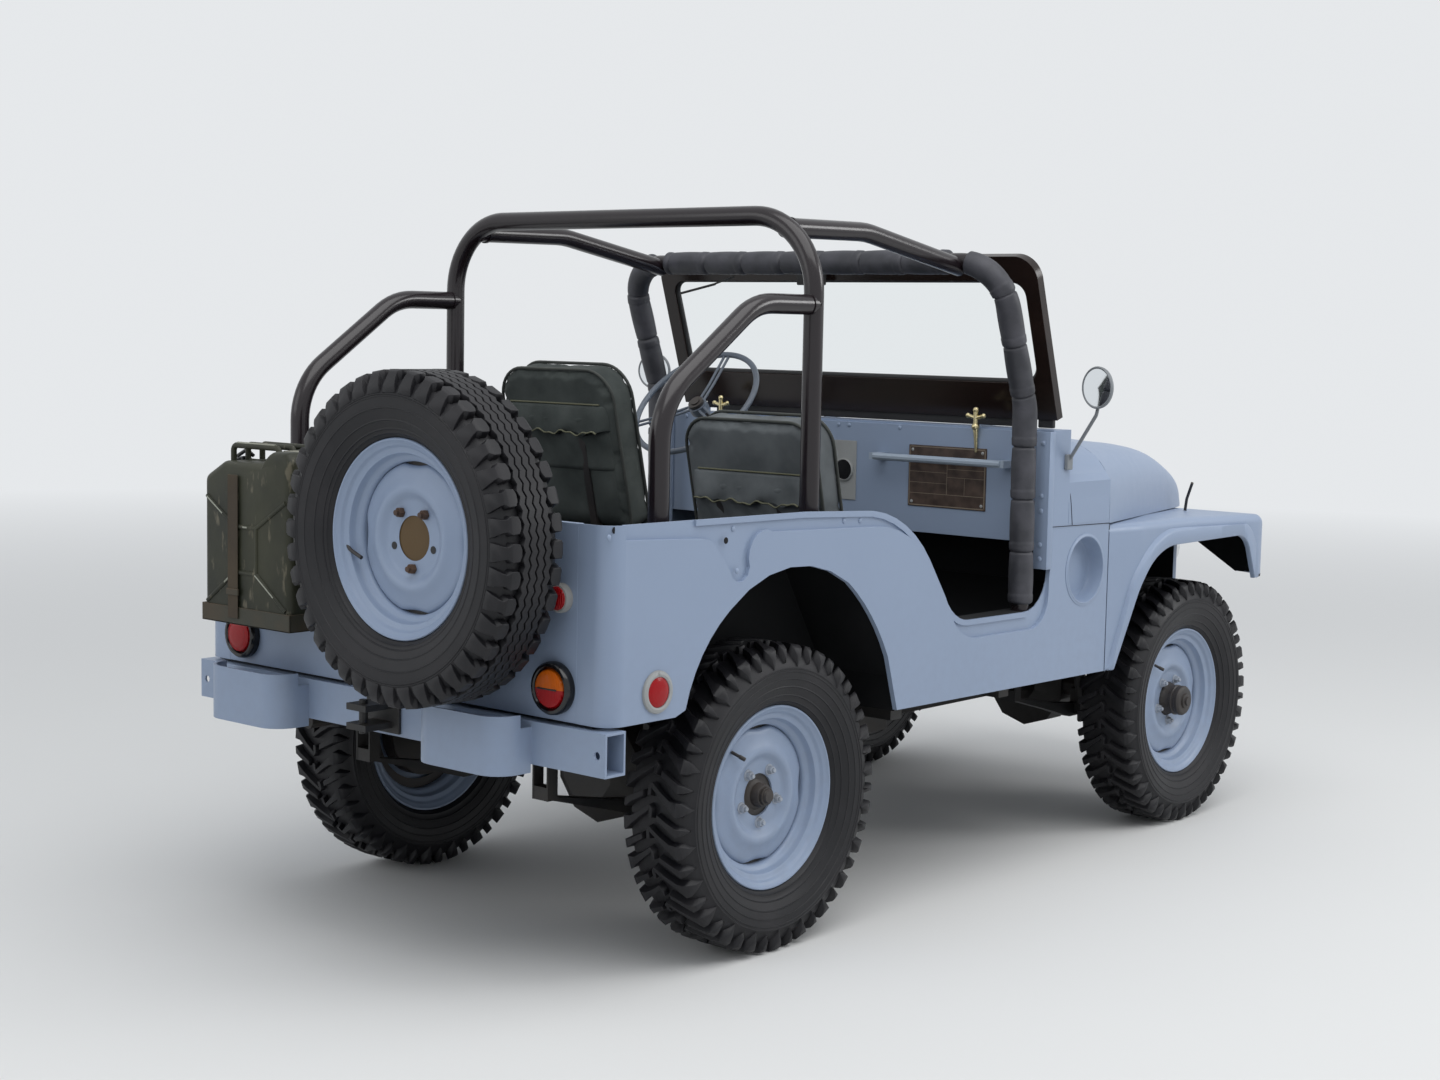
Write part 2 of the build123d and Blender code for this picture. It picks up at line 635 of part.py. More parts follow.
def bumperette(y0, y1):
    """A plate bent into a U behind the beam, its open side against it."""
    t = BUMPER_T
    x0 = BUMPER_REAR_X
    x1 = x0 - BUMPERETTE_D
    r = BUMPERETTE_R
    k = r * (1 - cos(pi / 4))

    def bow(inset):
        a = y0 + inset
        b = y1 - inset
        x = x1 + inset
        q = r - inset
        return face_path((x0, a), (x + q, a), ((x + k, a + k), (x, a + q)), (x, b - q),
                         ((x + k, b - k), (x + q, b)), (x0, b))

    plate = prism_z(bow(0) - bow(t), BUMPERETTE_Z0, BUMPERETTE_Z1)
    # the upper corners are cut down beside the beam
    for y in (y0, y1):
        plate -= box(x0 - 34.0, x0 + 1, y - 20.0, y + 20.0, BUMPER_Z1 - 14.0, BUMPERETTE_Z1 + 1)
    return plate


# Tub and body sides
def body_tub():
    t = SHEET
    skin = BODY_HALF - RAISE - t
    back = REAR_X + t
    sill_in = BODY_HALF - SILL_W
    low = REAR_FLOOR_Z - t
    pressings = [box(back, HOUSE_X1, -HOUSE_IN, HOUSE_IN, low, REAR_FLOOR_Z),
                 box(HOUSE_X1, TOE_X, -sill_in, sill_in, FLOOR_Z - t, FLOOR_Z),
                 box(HOUSE_X1 - t, HOUSE_X1, -skin, skin, FLOOR_Z - t, low)]
    house = face_of([(HOUSE_X0, low), (HOUSE_X0, HOUSE_TOP_Z), (HOUSE_SLOPE_X, HOUSE_TOP_Z),
                     (HOUSE_X1, low)])
    hollow = face_of([(HOUSE_X0 + t, low - t), (HOUSE_X0 + t, HOUSE_TOP_Z - t),
                      (HOUSE_SLOPE_X - t, HOUSE_TOP_Z - t), (HOUSE_X1 - t, low - t)])
    for s in (1, -1):
        pressings.append(box(REAR_X + CORNER_R, HOUSE_X0, s * HOUSE_IN, s * skin, low, REAR_FLOOR_Z))
        pressings.append(box(back, REAR_X + CORNER_R, s * HOUSE_IN, s * (BODY_HALF - CORNER_R),
                             low, REAR_FLOOR_Z))
        cavity = prism_y(hollow, s * (HOUSE_IN + t), s * (skin + 1))
        pressings.append(prism_y(house, s * HOUSE_IN, s * skin) - cavity)
        sill = box(HOUSE_X1, TOE_X, s * sill_in, s * skin, SILL_LOW_Z, SILL_Z)
        sill -= box(HOUSE_X1 + t, TOE_X - t, s * (sill_in + t), s * (skin - t), SILL_LOW_Z + t, SILL_Z - t)
        pressings.append(sill)
    slope = face_of([(TOE_X - t, FLOOR_Z - t), (TOE_X, FLOOR_Z), (FIREWALL_X - t, TOE_TOP_Z),
                     (FIREWALL_X, TOE_TOP_Z), (FIREWALL_X, TOE_TOP_Z - t - 2), (TOE_X + t, FLOOR_Z - t)])
    toe = prism_y(slope, -skin, skin)
    toe -= pin(steer_point(-780.0), steer_point(-860.0), COLUMN_R + RUN_GAP)
    parts["body_tub"] = Compound(pressings + [toe])


def side_faces():
    """The body side, its raised lower field and its top rail, as (x, z) faces."""
    arch = [((-345.0, 765.0), (-238.0, 879.0)), ((0.0, 967.0), (223.0, 910.0)),
            ((330.0, 808.0), (398.0, 703.0))]
    door = [((1132.0, 790.0), (1168.0, 872.0))]
    outline = face_path(
        (REAR_X + CORNER_R, REAR_LOW_Z), (-425.0, REAR_LOW_Z), (-390.0, 660.0), *arch,
        (444.0, SILL_LOW_Z - 2.0),
        (COWL_X, 549.0), (COWL_X, BELT_Z), (1168.0, BELT_Z), (1168.0, 872.0),
        ((1134.0, 792.0), (1050.0, SILL_Z)), (778.0, SILL_Z + 3.0), ((708.0, 784.0), (656.0, 840.0)),
        (580.0, 944.0), ((480.0, 1034.0), (330.0, 1086.0)), (58.0, 1098.0), (REAR_X + CORNER_R, RAIL_TOP_Z))
    field = face_path(
        (REAR_X + CORNER_R, REAR_LOW_Z - 100.0), (1600.0, REAR_LOW_Z - 100.0), (1600.0, BELT_Z),
        (1168.0, BELT_Z), (1164.0, 800.0), ((1135.0, 735.0), (1062.0, 712.0)), (800.0, 714.0),
        ((722.0, 742.0), (670.0, 808.0)), (590.0, 915.0), ((480.0, 1010.0), (330.0, 1046.0)), (-80.0, 1057.0),
        ((-148.0, 1050.0), (-172.0, 998.0)), ((-205.0, 944.0), (-240.0, 975.0)), (-290.0, 1032.0),
        ((-310.0, 1048.0), (-340.0, 1056.0)), (REAR_X + CORNER_R, 1068.0))
    return outline, field


def side_panel():
    """Pressed left side with its rolled rail and the rounded rear corner."""
    skin = BODY_HALF - RAISE
    outline, field = side_faces()
    panel = prism_y(outline, skin - SHEET, skin) + prism_y(outline & field, skin - 1, BODY_HALF)
    rail = outline - Pos(-10.0, -14.0) * outline
    rail = rail & (Pos(-100.0 + 500.0 - 50.0, 1000.0) * Rectangle(1420.0, 600.0))
    panel += prism_y(rail, skin - SHEET, skin + 6.0)
    r = CORNER_R
    q = r * (1 - cos(pi / 4))
    x = REAR_X
    y = BODY_HALF
    t = SHEET
    corner = face_path((x + r, y), ((x + q, y - q), (x, y - r)), (x, SEAM_Y), (x + t, SEAM_Y), (x + t, y - r),
                       ((x + q + t * 0.7, y - q - t * 0.7), (x + r, y - t)))
    return panel + prism_z(corner, REAR_LOW_Z, RAIL_TOP_Z)


def body_sides():
    left = side_panel()
    parts["side_panel_left"] = left
    right = flip(left)
    wall = 3.0
    bottom = -BODY_HALF + RECESS_DEPTH
    cup = pin((RECESS_X, -BODY_HALF, RECESS_Z), (RECESS_X, bottom, RECESS_Z), RECESS_R + wall)
    hole = pin((RECESS_X, -BODY_HALF - 1, RECESS_Z), (RECESS_X, bottom - wall, RECESS_Z), RECESS_R)
    parts["side_panel_right"] = (right + cup) - hole
    panel = box(REAR_X, REAR_X + SHEET, -SEAM_Y, SEAM_Y, REAR_LOW_Z, RAIL_TOP_Z)
    panel += box(REAR_X, REAR_X + 18.0, -SEAM_Y, SEAM_Y, RAIL_TOP_Z - 14.0, RAIL_TOP_Z)
    parts["rear_panel"] = panel


# Cowl, dash and hood
def hump(half, side_z, shoulder_y, shoulder_z, top_z, low_z):
    """Cross-section with straight sides, arched shoulders and a crowned top, as (y, z)."""
    my = shoulder_y + 0.72 * (half - shoulder_y)
    mz = side_z + 0.72 * (shoulder_z - side_z)
    shoulder = ThreePointArc((half, side_z), (my, mz), (shoulder_y, shoulder_z))
    crown = ThreePointArc((shoulder_y, shoulder_z), (0, top_z), (-shoulder_y, shoulder_z))
    side = [(half, low_z)] + [tuple(shoulder @ (k / 3))[:2] for k in range(3)]
    middle = [tuple(crown @ (k / 6))[:2] for k in range(7)]
    return side + middle + [(-y, z) for y, z in reversed(side)]


def cowl():
    t = COWL_T
    rise = (COWL_SHOULDER_Y, COWL_SHOULDER_Z, COWL_TOP_Z)
    fall = (COWL_SHOULDER_Y - 2.0, COWL_SHOULDER_Z - t, COWL_TOP_Z - t)
    outer = hump(BODY_HALF, COWL_SIDE_Z, *rise, BELT_Z)
    inner = hump(BODY_HALF - t, COWL_SIDE_Z - 2.0, *fall, BELT_Z - 1)
    back = STRIP_X1 - t
    whole = prism_x(face_of(outer), back, COWL_X) - prism_x(face_of(inner), back - 1, COWL_X + 1)
    strip = box(STRIP_X0, STRIP_X1, -BODY_HALF, BODY_HALF, BELT_Z, STRIP_TOP_Z)
    strip -= box(STRIP_X0 - 1, STRIP_X1 - t, -BODY_HALF + t, BODY_HALF - t, BELT_Z - 1, STRIP_TOP_Z - t)
    wall = hump(BODY_HALF - RAISE - SHEET, COWL_SIDE_Z - 2.0, *fall, TOE_TOP_Z)
    whole += strip + prism_x(face_of(wall), FIREWALL_X, FIREWALL_X + SHEET)
    for y in HOOD_HINGE_Y, -HOOD_HINGE_Y:
        whole += hinge_lugs(HOOD_HINGE_X, y, HOOD_HINGE_Z, 30.0)
    for y in WS_HINGE_Y, -WS_HINGE_Y:
        whole += hinge_lugs(WS_X, y, WS_Z, 24.0)
    parts["cowl"] = whole


def hinge_lugs(x, y, z, drop):
    """Two ears with a pin between them, for a knuckle KNUCKLE_L long."""
    half = KNUCKLE_L / 2 + RUN_GAP
    lugs = pin((x, y - half - 4.0, z), (x, y + half + 4.0, z), HINGE_PIN_R)
    for s in (1, -1):
        lugs += box(x - 12.0, x + 4.0, y + s * half, y + s * (half + 8.0), z - drop, z + 8.0)
    return lugs


def hinge_knuckle(x, y, z):
    """The moving barrel of a hinge, bored for the pin."""
    barrel_r = HINGE_PIN_R + 5.0
    return (rod((x, y - KNUCKLE_L / 2, z), (x, y + KNUCKLE_L / 2, z), barrel_r)
            - pin((x, y - KNUCKLE_L, z), (x, y + KNUCKLE_L, z), HINGE_PIN_R + PIN_GAP))


def hood():
    """Hood skin through its sections, open underneath and at the back."""
    t = HOOD_T
    # x, half width, side top z, shoulder y, shoulder z, top z, lower edge z
    rows = ((COWL_X + HOOD_GAP, BODY_HALF - 2.0, COWL_SIDE_Z, COWL_SHOULDER_Y, COWL_SHOULDER_Z, COWL_TOP_Z,
             BELT_Z),
            (1800.0, 655.0, 1110.0, 470.0, 1210.0, 1236.0, 988.0),
            (2100.0, 560.0, 1095.0, 430.0, 1180.0, 1200.0, 982.0),
            (2300.0, 495.0, 1070.0, 380.0, 1125.0, 1150.0, 976.0),
            (2420.0, 452.0, 1045.0, 335.0, 1092.0, 1108.0, 973.0),
            (2455.0, 436.0, 1000.0, 330.0, 1050.0, 1068.0, 972.0),
            (2468.0, 430.0, 992.0, 330.0, 1004.0, 1010.0, 972.0))
    outer = skinned([[Vector(r[0], y, z) for y, z in hump(*r[1:])] for r in rows])
    cores = []
    for i, (x, half, side_z, sy, sz, top_z, low_z) in enumerate(rows):
        at = x - 1 if i == 0 else (x if i < 4 else x - t)
        core = hump(half - t, side_z - t / 2, sy - t / 2, sz - t, top_z - t, low_z - 30.0)
        cores.append([Vector(at, y, z) for y, z in core])
    whole = outer - skinned(cores)
    for y in HOOD_HINGE_Y, -HOOD_HINGE_Y:
        x = HOOD_HINGE_X
        z = HOOD_HINGE_Z
        leaf = box(x, x + 45.0, y - 16.0, y + 16.0, z - 9.0, z - 4.0)
        leaf += box(x + 10.0, x + 45.0, y - 16.0, y + 16.0, z - 24.0, z - 5.0)
        leaf -= pin((x, y - 30.0, z), (x, y + 30.0, z), HINGE_PIN_R + PIN_GAP)
        whole += leaf + hinge_knuckle(x, y, z)
    parts["hood"] = whole


def dash():
    panel = box(DASH_X, STRIP_X0 - SHEET, -DASH_HALF, DASH_HALF, DASH_Z0, DASH_Z1)
    panel += box(STRIP_X0 - SHEET, STRIP_X0, -BODY_HALF, BODY_HALF, BELT_Z, STRIP_TOP_Z)
    panel -= pin(steer_point(-300.0), steer_point(-520.0), COLUMN_R + RUN_GAP)
    parts["dash_panel"] = panel
    x = DASH_X - HANDLE_OUT
    bar = rod((x, HANDLE_Y0, HANDLE_Z), (x, HANDLE_Y1, HANDLE_Z), HANDLE_R)
    for y in (HANDLE_Y0, HANDLE_Y1):
        bar += box(x - 6.0, DASH_X, y - 14.0, y + 14.0, HANDLE_Z - 10.0, HANDLE_Z + 10.0)
    parts["grab_handle"] = bar
    # plates on the dash: y0, y1, z0, z1
    plates = [box(DASH_X - PLATE_T, DASH_X, y0, y1, z0, z1)
              for y0, y1, z0, z1 in ((-524.0, -248.0, 1027.0, 1209.0), (-47.0, 200.0, 1068.0, 1208.0))]
    parts["dash_plates"] = Compound(plates)


# Fenders, grille and headlamps
def fenders():
    t = SHEET
    x0 = COWL_X + t
    step_x = GRILLE_X - 6.0
    out = FENDER_HALF - LIP
    r = 120.0
    q = r * (1 - cos(pi / 4))
    tip = FENDER_TIP_X
    plan = face_path((x0, APRON_Y), (step_x, APRON_Y), (step_x, GRILLE_HALF + t), (tip, GRILLE_HALF + t),
                     (tip, out - r), ((tip - q, out - q), (tip - r, out)), (1640.0, out), (x0, BODY_HALF))
    low = 549.0
    side = face_path((x0, low), (x0, FENDER_TOP_Z), (1900.0, FENDER_TOP_Z), (2436.0, FENDER_TOP_Z - 18.0),
                     ((2474.0, 956.0), (2488.0, 930.0)), (tip, SKIRT_Z), (2362.0, SKIRT_Z), (2362.0, low))
    arch = face_path((1516.0, low - 60.0), (1516.0, low), (1610.0, 754.0), ((1690.0, 856.0), (1828.0, 906.0)),
                     (2236.0, 910.0), ((2292.0, 893.0), (2325.0, 845.0)), (2362.0, SKIRT_Z - 1),
                     (2362.0, low - 60.0))
    flare = face_path((1497.0, low), (1590.0, 790.0), ((1690.0, 902.0), (1836.0, 951.0)), (2236.0, 953.0),
                      ((2316.0, 933.0), (2362.0, 880.0)), (tip - r, SKIRT_Z), (2362.0, SKIRT_Z),
                      (2300.0, low))
    wide = FENDER_HALF + 1
    solid = prism_z(plan, 400.0, 1100.0) & prism_y(side, APRON_Y - 1, wide)
    inside = offset(plan, -t, kind=Kind.INTERSECTION)
    core = prism_z(inside, 300.0, 1100.0) & prism_y(Pos(-t, -t) * side, APRON_Y - 1, wide)
    shell = solid - core
    shell -= prism_y(arch, APRON_Y + 60.0, wide)
    # the front splash wall ends above the tyre's corner at full lock
    shell -= box(2340.0, 2370.0, APRON_Y - 1, wide, low - 1, SPLASH_Z)
    shell += prism_y(flare - arch, BODY_HALF - 6.0, FENDER_HALF)
    parts["fender_left"] = shell
    parts["fender_right"] = flip(shell)


def grille():
    panel = box(GRILLE_X, GRILLE_X + GRILLE_T, -GRILLE_HALF, GRILLE_HALF, GRILLE_LOW_Z, GRILLE_TOP_Z)
    pitch = 2 * SLOT_FIELD / GRILLE_SLOTS
    for i in range(GRILLE_SLOTS):
        y = -SLOT_FIELD + pitch * (i + 0.5)
        panel -= box(GRILLE_X - 1, GRILLE_X + GRILLE_T + 1, y - SLOT_W / 2, y + SLOT_W / 2, SLOT_Z0, SLOT_Z1)
    lamps = []
    for s in (1, -1):
        y = s * HEADLAMP_Y
        seat = GRILLE_X + GRILLE_T
        lamps.append(rod((seat, y, HEADLAMP_Z), (seat + 34.0, y, HEADLAMP_Z), HEADLAMP_R, DISC_SIDES))
    parts["grille"] = panel
    parts["headlamps"] = Compound(lamps)


# Windshield
def windshield():
    """Drawn upright on the hinge line, then leaned back."""
    outer = Pos(0, (WS_H + WS_LIFT) / 2) * Rectangle(2 * WS_HALF, WS_H - WS_LIFT)
    outer = fillet(outer.vertices().group_by(Axis.Y)[-1], 70.0)
    open_h = WS_H - WS_LOW - WS_TOP
    hole = Pos(0, WS_LOW + open_h / 2) * RectangleRounded(2 * (WS_HALF - WS_SIDE), open_h, 50.0)
    pane = Pos(0, WS_LOW + open_h / 2) * RectangleRounded(
        2 * (WS_HALF - WS_SIDE - RUN_GAP), open_h - 2 * RUN_GAP, 50.0 - RUN_GAP)
    lean = Pos(WS_X, 0, WS_Z) * Rot(0, -WS_LEAN, 0)
    whole = lean * prism_x(outer - hole, -WS_T / 2, WS_T / 2)
    notch = KNUCKLE_L / 2 + 14.0
    for y in WS_HINGE_Y, -WS_HINGE_Y:
        whole -= box(WS_X - 20.0, WS_X + 20.0, y - notch, y + notch, WS_Z - 5.0, WS_Z + 16.0)
        tang = lean * box(-9.0, 9.0, y - KNUCKLE_L / 2, y + KNUCKLE_L / 2, 0, 30.0)
        tang -= pin((WS_X, y - 60.0, WS_Z), (WS_X, y + 60.0, WS_Z), HINGE_PIN_R + PIN_GAP)
        whole += tang + hinge_knuckle(WS_X, y, WS_Z)
    parts["windshield_frame"] = whole
    parts["windshield_glass"] = lean * prism_x(pane, -GLASS_T / 2, GLASS_T / 2)
    clamps = []
    for s in (1, -1):
        y = s * 505.0
        clamp = box(DASH_X - 14.0, DASH_X, y - 12.0, y + 12.0, 1232.0, DASH_Z1)
        clamp += box(DASH_X - 14.0, DASH_X - 4.0, y - 9.0, y + 9.0, DASH_Z1 - 4.0, 1318.0)
        clamp += rod((DASH_X - 9.0, y - 24.0, 1306.0), (DASH_X - 9.0, y + 24.0, 1306.0), 6.0)
        clamps.append(clamp)
    parts["windshield_clamps"] = Compound(clamps)


# Roll cage and its pads
def roll_cage():
    r = TUBE_R
    foot = HOUSE_TOP_Z
    hoop = tube([(HOOP_X, -HOOP_Y, foot), (HOOP_X, -HOOP_Y, HOOP_TOP_Z), (HOOP_X, HOOP_Y, HOOP_TOP_Z),
                 (HOOP_X, HOOP_Y, foot)], r, HOOP_BEND)
    front = tube(front_hoop_points(), r, FRONT_HOOP_BEND)
    front -= box(900.0, 1200.0, -BODY_HALF, BODY_HALF, SILL_Z - 40.0, SILL_Z)
    cage = hoop + front
    for s in (1, -1):
        y = s * HOOP_Y
        stay = tube([(HOOP_X, y, STAY_Z), (-70.0, y, STAY_Z), (STAY_FOOT_X, y, STAY_Z - STAY_KNEE),
                     (STAY_FOOT_X, y, foot)], r, 120.0)
        y = s * RAIL_JOIN_Y
        rail = tube([(HOOP_X, y, HOOP_TOP_Z - RAIL_DROP), (492.0, y, HOOP_TOP_Z - 27.0),
                     (FRONT_HOOP_TOP_X, y, FRONT_HOOP_TOP_Z - 14.0)], r, 160.0)
        cage += stay + rail
        for x in (HOOP_X, STAY_FOOT_X):
            cage += box(x - 50.0, x + 50.0, s * HOOP_Y - 50.0, s * HOOP_Y + 50.0, foot, foot + 5.0)
    parts["roll_cage"] = cage


def front_hoop_points():
    y = FRONT_HOOP_Y
    low = (FRONT_HOOP_FOOT_X, FRONT_HOOP_KNEE_Z, FRONT_HOOP_TOP_X)
    return [(low[0], -y, SILL_Z), (low[0] - 8.0, -y, low[1]), (low[2], -y, FRONT_HOOP_TOP_Z),
            (low[2], y, FRONT_HOOP_TOP_Z), (low[0] - 8.0, y, low[1]), (low[0], y, SILL_Z)]


def cage_pads():
    """Foam sleeves round the front hoop, open where the side rails meet it."""
    way = front_hoop_points()
    sleeve = tube(way, PAD_R, FRONT_HOOP_BEND) - tube(way, TUBE_R + RUN_GAP, FRONT_HOOP_BEND)
    x = FRONT_HOOP_TOP_X
    z = FRONT_HOOP_TOP_Z
    for s in (1, -1):
        y = s * RAIL_JOIN_Y
        sleeve -= box(x - 80.0, x + 80.0, y - PAD_BREAK, y + PAD_BREAK, z - 90.0, z + 60.0)
    sleeve -= box(700.0, 1300.0, -BODY_HALF, BODY_HALF, SILL_Z - 60.0, SILL_Z + 18.0)
    parts["cage_pads"] = sleeve


# Steering wheel, column and small controls
def steer_point(along):
    """A point on the steering axis, measured from the wheel towards the driver."""
    a = radians(STEER_TILT)
    return (STEER_X - along * cos(a), STEER_Y, STEER_Z + along * sin(a))


def steering():
    a = radians(STEER_TILT)
    seat = Plane(origin=steer_point(0), x_dir=(0, 1, 0), z_dir=(-cos(a), 0, sin(a))) * Rot(90, 0, 0)
    r = STEER_RIM_R
    hoop = [(STEER_R + r, r / 2), (STEER_R + r, -r / 2), (STEER_R, -r), (STEER_R - r, -r / 2),
            (STEER_R - r, r / 2), (STEER_R, r)]
    wheel = faceted([hoop], [], 24)
    wheel += rod((0, -STEER_HUB, 0), (0, 8.0, 0), 27.0)
    for k in range(3):
        wheel += Rot(0, 90 + 120 * k, 0) * box(20.0, STEER_R - r / 2, -4.0, 4.0, -7.0, 7.0)
    parts["steering_wheel"] = seat * wheel
    parts["steering_column"] = pin(steer_point(-STEER_HUB - RUN_GAP), steer_point(-815.0), COLUMN_R)


def toe_z(x):
    """Height of the toe board at x."""
    return FLOOR_Z + (x - TOE_X) * (TOE_TOP_Z - FLOOR_Z) / (FIREWALL_X - SHEET - TOE_X)


def controls():
    """Gear and transfer levers, and three pedals on arms from the toe board."""
    pieces = []
    tip = toe_z(1400.0)
    heel = toe_z(1376.0)
    # foot x, foot y, top x, top z
    for x, y, tx, tz in ((1080.0, 30.0, 930.0, 960.0), (1040.0, -60.0, 960.0, 850.0),
                         (1040.0, -95.0, 960.0, 850.0)):
        lever = rod((x, y, FLOOR_Z), (tx, y, tz), LEVER_R)
        pieces.append(lever - box(x - 50.0, x + 50.0, y - 20.0, y + 20.0, FLOOR_Z - 20.0, FLOOR_Z))
    for y in (230.0, 430.0, 520.0):
        pad = box(1180.0, 1192.0, y - 32.0, y + 32.0, 650.0, 710.0)
        arm = face_of([(1184.0, 660.0), (1192.0, 700.0), (1400.0, tip), (1376.0, heel)])
        pieces.append(pad + prism_y(arm, y - 8.0, y + 8.0))
    parts["floor_controls"] = Compound(pieces)


# Seats
def seats():
    w = SEAT_W / 2
    stands = []
    for name, y, z in (("driver", SEAT_Y, DRIVER_Z), ("passenger", -SEAT_Y, PASSENGER_Z)):
        base = z - CUSHION_T
        parts[f"{name}_cushion"] = box(CUSHION_X0, CUSHION_X1, y - w, y + w, base + RUN_GAP, z)
        lean = Pos(BACK_X, 0, z + 20.0) * Rot(0, -BACK_LEAN, 0)
        parts[f"{name}_back"] = lean * box(0, BACK_T, y - w, y + w, 0, BACK_H)
        under = base - SHEET
        stand = box(HOUSE_X1 + 10.0, CUSHION_X1 - 20.0, y - w + 10.0, y + w - 10.0, under, base)
        stand += box(BACK_X - 2.0, HOUSE_X1 + 10.0, y - BAR_Y - 12.0, y + BAR_Y + 12.0, under, base)
        for side in (-1, 1):
            for x in (HOUSE_X1 + 12.0, CUSHION_X1 - 60.0):
                leg_y = y + side * (w - 30.0)
                stand += box(x, x + 25.0, leg_y - 12.0, leg_y + 12.0, FLOOR_Z, under)
            bar_y = y + side * BAR_Y
            stand += lean * box(-22.0, -RUN_GAP, bar_y - 12.0, bar_y + 12.0, -CUSHION_T - 24.0, BACK_H * 0.6)
        stands.append(stand)
    parts["seat_frames"] = Compound(stands)
    parts["fuel_tank"] = box(HOUSE_X1 + 50.0, CUSHION_X1 - 70.0, SEAT_Y - w + 50.0, SEAT_Y + w - 50.0,
                             FLOOR_Z, DRIVER_Z - CUSHION_T - 40.0)


# Rear fittings
def rear_fittings():
    x = REAR_X
    can_x = x - CAN_GAP
    mid_x = can_x - CAN_D / 2
    can = Pos(mid_x, CAN_Y, 0) * prism_z(RectangleRounded(CAN_D, CAN_W, 32.0), CAN_Z, CAN_Z + CAN_H - 38.0)
    for y in (CAN_Y - 36.0, CAN_Y, CAN_Y + 36.0):
        can += box(mid_x - 50.0, mid_x + 50.0, y - 8.0, y + 8.0, CAN_Z + CAN_H - 40.0, CAN_Z + CAN_H)
    parts["jerrycan"] = can
    tray_x = can_x - CAN_D - RUN_GAP
    half = CAN_W / 2 + SHEET
    tray = box(tray_x - SHEET, x, CAN_Y - half, CAN_Y + half, CAN_Z - 6.0, CAN_Z)
    tray += box(tray_x - SHEET, tray_x, CAN_Y - half, CAN_Y + half, CAN_Z - 6.0, CAN_Z + 22.0)
    tray += box(tray_x - SHEET, tray_x, CAN_Y - 20.0, CAN_Y + 20.0, CAN_Z, CAN_Z + CAN_H - 60.0)
    tray += box(can_x + RUN_GAP, x, CAN_Y - 120.0, CAN_Y + 120.0, CAN_Z - 6.0, CAN_Z + 240.0)
    parts["can_tray"] = tray
    pad = SPARE_X - DISC_OUT + DISC_T
    carrier = rod((pad, SPARE_Y, SPARE_Z), (pad + 14.0, SPARE_Y, SPARE_Z), 80.0)
    arm = face_of([(pad + 10.0, 0), (pad + 10.0, 70.0), (x - 8.0, 200.0), (x, 200.0), (x, 130.0)])
    for k in range(4):
        leg = prism_y(arm, -14.0, 14.0)
        carrier += Pos(0, SPARE_Y, SPARE_Z) * Rot(45 + 90 * k, 0, 0) * leg
    parts["spare_carrier"] = carrier & box(pad - 1, x, -900.0, 300.0, 600.0, RAIL_TOP_Z + 80.0)
    lamps = []
    for s in (1, -1):
        lamps.append(rod((x - 40.0, s * LAMP_Y, LAMP_Z), (x, s * LAMP_Y, LAMP_Z), LAMP_R, DISC_SIDES))
        near = (REFLECTOR_X, s * BODY_HALF, REFLECTOR_Z)
        far = (REFLECTOR_X, s * (BODY_HALF + 10.0), REFLECTOR_Z)
        lamps.append(rod(near, far, REFLECTOR_R, DISC_SIDES))
    lamps.append(rod((x - 30.0, -590.0, 930.0), (x, -590.0, 930.0), 34.0))
    parts["rear_lamps"] = Compound(lamps)
    for side, s in (("left", 1), ("right", -1)):
        y = s * MIRROR_Y
        head = rod((MIRROR_X - 8.0, y, MIRROR_Z), (MIRROR_X + 8.0, y, MIRROR_Z), MIRROR_R, DISC_SIDES)
        low = (MIRROR_X + 24.0, s * (BODY_HALF + 8.0), 1190.0)
        arm = rod((MIRROR_X, y, MIRROR_Z - MIRROR_R + 6.0), low, 7.0)
        foot = box(MIRROR_X + 10.0, MIRROR_X + 34.0, s * BODY_HALF, s * (BODY_HALF + 14.0), 1160.0, 1200.0)
        parts[f"mirror_{side}"] = head + arm + foot


wheels()
frame_rails()
axles()
knuckles()
tie_rod()
springs()
power_train()
bumpers()
body_tub()
body_sides()
cowl()
hood()
dash()
fenders()
grille()
windshield()
roll_cage()
cage_pads()
steering()
controls()
seats()
rear_fittings()

os.makedirs("parts", exist_ok=True)
for name, shape in parts.items():
    export_step(Pos(SHIFT_X, 0, 0) * shape, f"parts/{name}.step")
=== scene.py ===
import json
import math

import bmesh
import bpy
from mathutils import Matrix, Vector


